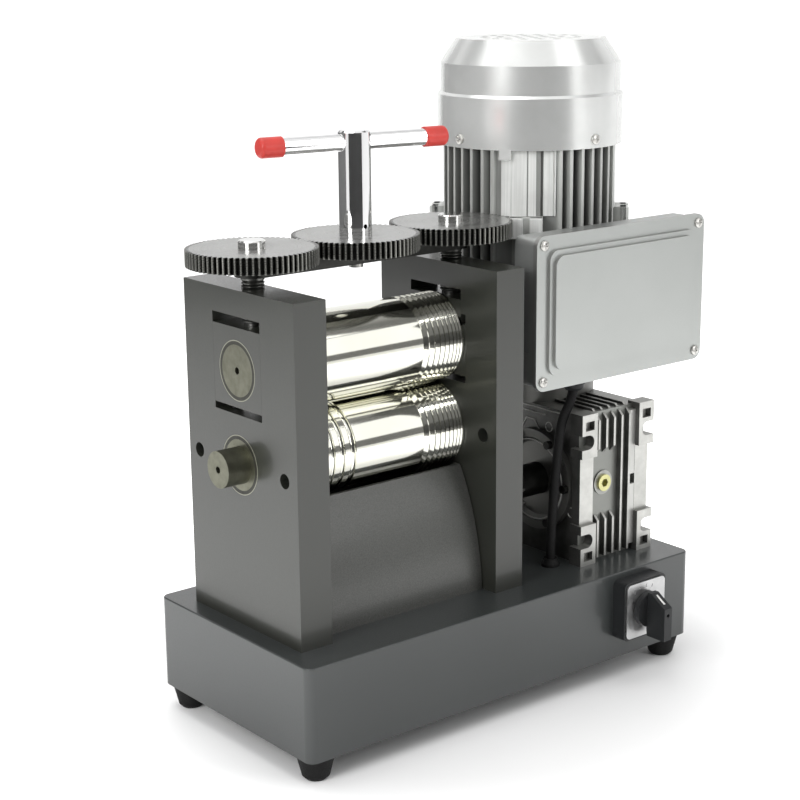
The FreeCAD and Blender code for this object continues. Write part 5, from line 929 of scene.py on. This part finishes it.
NEAR_GLOW_REACH = (0.16, 0.4)
NEAR_GLOW = 0.68
FAR_GLOW_REACH = (0.8, 1.6)
FAR_GLOW = 0.5


def glowing_white():
    """A pale floor that grows brighter away from the object, as an overlit sweep does."""
    shader = Shader("floor_white", (0.9, 0.9, 0.9), 0.0, 0.6)
    shader.colour(shader.mix(shader.noise(3, 2), (0.9, 0.9, 0.9), (0.915, 0.915, 0.915)))
    away = shader.radius_from((0, 0, 0), "Z")
    shader.end.inputs["Emission Color"].default_value = (1, 1, 1, 1)
    rise = shader.span(away, *NEAR_GLOW_REACH, 0, NEAR_GLOW, smooth=True)
    fall = shader.span(away, *FAR_GLOW_REACH, 0, NEAR_GLOW - FAR_GLOW, smooth=True)
    shader.link(shader.math("SUBTRACT", rise, fall), shader.end.inputs["Emission Strength"])
    return shader.material


FLOOR_NEAR = -4.0
SWEEP_START = 2.4
SWEEP_RADIUS = 1.6
SWEEP_STEPS = 16
WALL_HEIGHT = 6.0
HALF_WIDTH = 7.0


def studio_floor():
    """A pale floor that sweeps up into a backdrop."""
    profile = [(FLOOR_NEAR, 0.0), (SWEEP_START, 0.0)]
    for step in range(1, SWEEP_STEPS + 1):
        angle = math.pi / 2 * step / SWEEP_STEPS
        profile.append((SWEEP_START + SWEEP_RADIUS * math.sin(angle),
                        SWEEP_RADIUS - SWEEP_RADIUS * math.cos(angle)))
    profile.append((SWEEP_START + SWEEP_RADIUS, WALL_HEIGHT))

    def corner(point, side):
        away, height = point
        return -CAMERA_SIDE * away + CAMERA_RIGHT * side + Vector((0, 0, height))

    faces = [
        (corner(first, -HALF_WIDTH), corner(first, HALF_WIDTH),
         corner(second, HALF_WIDTH), corner(second, -HALF_WIDTH))
        for first, second in zip(profile, profile[1:])
    ]
    stage_mesh("floor", faces, glowing_white())


MAT_LIFT = 0.002
DEGREES_PER_STEP = 6.6


def mat(name, turned_from, turned_to, near, far, height, grey):
    """A mat on the floor and a card behind it, which bright metal mirrors."""
    shader = Shader(name, (grey, grey, grey), 0.0, 0.8)
    shader.colour(shader.mix(shader.noise(40, 3), (grey * 0.9,) * 3, (grey * 1.1,) * 3))
    faces = []
    sweep = turned_to - turned_from
    steps = round(sweep / DEGREES_PER_STEP)
    up = Vector((0, 0, height))
    lift = Vector((0, 0, MAT_LIFT))
    for step in range(steps):
        one = heading(turned_from + sweep * step / steps)
        two = heading(turned_from + sweep * (step + 1) / steps)
        faces.append((one * near + lift, two * near + lift, two * far + lift, one * far + lift))
        faces.append((one * far, two * far, two * far + up, one * far + up))
    stage_mesh(name, faces, shader.material)


# name: turned from and to, near, far, height, grey
MATS = {
    "dark_mat": (-39.0, 54.0, 1.05, 2.6, 0.7, 0.1),
    "grey_mat": (-150.0, -60.0, 1.7, 2.4, 1.6, 0.3),
}
LIGHTS_AIM = Vector((0, 0, 0.2))


def soft_light(name, turned, distance, height, width, tall, radiance):
    """A rectangular softbox that faces the object, with a given brightness of its face."""
    data = bpy.data.lights.new(name, "AREA")
    data.shape = "RECTANGLE"
    data.size = width
    data.size_y = tall
    data.energy = radiance * math.pi * width * tall
    light = bpy.data.objects.new(name, data)
    light.location = heading(turned) * distance + Vector((0, 0, height))
    toward = LIGHTS_AIM - light.location
    light.rotation_euler = toward.to_track_quat("-Z", "Y").to_euler()
    bpy.context.scene.collection.objects.link(light)


WORLD_STRENGTH = 0.2
ZENITH_FROM, ZENITH_TO = 0.74, 0.9
ZENITH_STRENGTH = 1.0
# name: turned from the camera's side, distance, height, width, tall, radiance
LIGHTS = {
    "key_left": (-37, 1.7, 1.0, 0.6, 0.9, 10.5),
    "fill_left": (-84, 1.7, 1.5, 1.2, 0.5, 2.2),
    "fill_front": (58, 1.8, 0.85, 0.45, 0.8, 5.6),
    "top_front": (8, 1.45, 1.55, 1.6, 0.9, 0.9),
    "box_right": (80, 1.7, 1.1, 1.5, 1.1, 1.1),
    "top": (-120, 0.5, 1.9, 1.1, 1.1, 2.6),
    "top_right": (72, 1.25, 1.9, 0.9, 0.6, 1.8),
}


def studio():
    """A dim world, brighter overhead, and the softboxes."""
    world = bpy.data.worlds.new("studio")
    world.use_nodes = True
    background = next(n for n in world.node_tree.nodes if n.type == "BACKGROUND")
    background.inputs["Color"].default_value = (1, 1, 1, 1)
    coordinates = world.node_tree.nodes.new("ShaderNodeTexCoord")
    parts = world.node_tree.nodes.new("ShaderNodeSeparateXYZ")
    rise = world.node_tree.nodes.new("ShaderNodeMapRange")
    rise.interpolation_type = "SMOOTHSTEP"
    for socket, value in (("From Min", ZENITH_FROM), ("From Max", ZENITH_TO),
                          ("To Min", WORLD_STRENGTH), ("To Max", ZENITH_STRENGTH)):
        rise.inputs[socket].default_value = value
    world.node_tree.links.new(coordinates.outputs["Generated"], parts.inputs[0])
    world.node_tree.links.new(parts.outputs["Z"], rise.inputs["Value"])
    world.node_tree.links.new(rise.outputs["Result"], background.inputs["Strength"])
    bpy.context.scene.world = world
    bpy.context.scene.view_settings.view_transform = "Standard"
    for name, settings in LIGHTS.items():
        soft_light(name, *settings)


studio_floor()
for name, settings in MATS.items():
    mat(name, *settings)
studio()
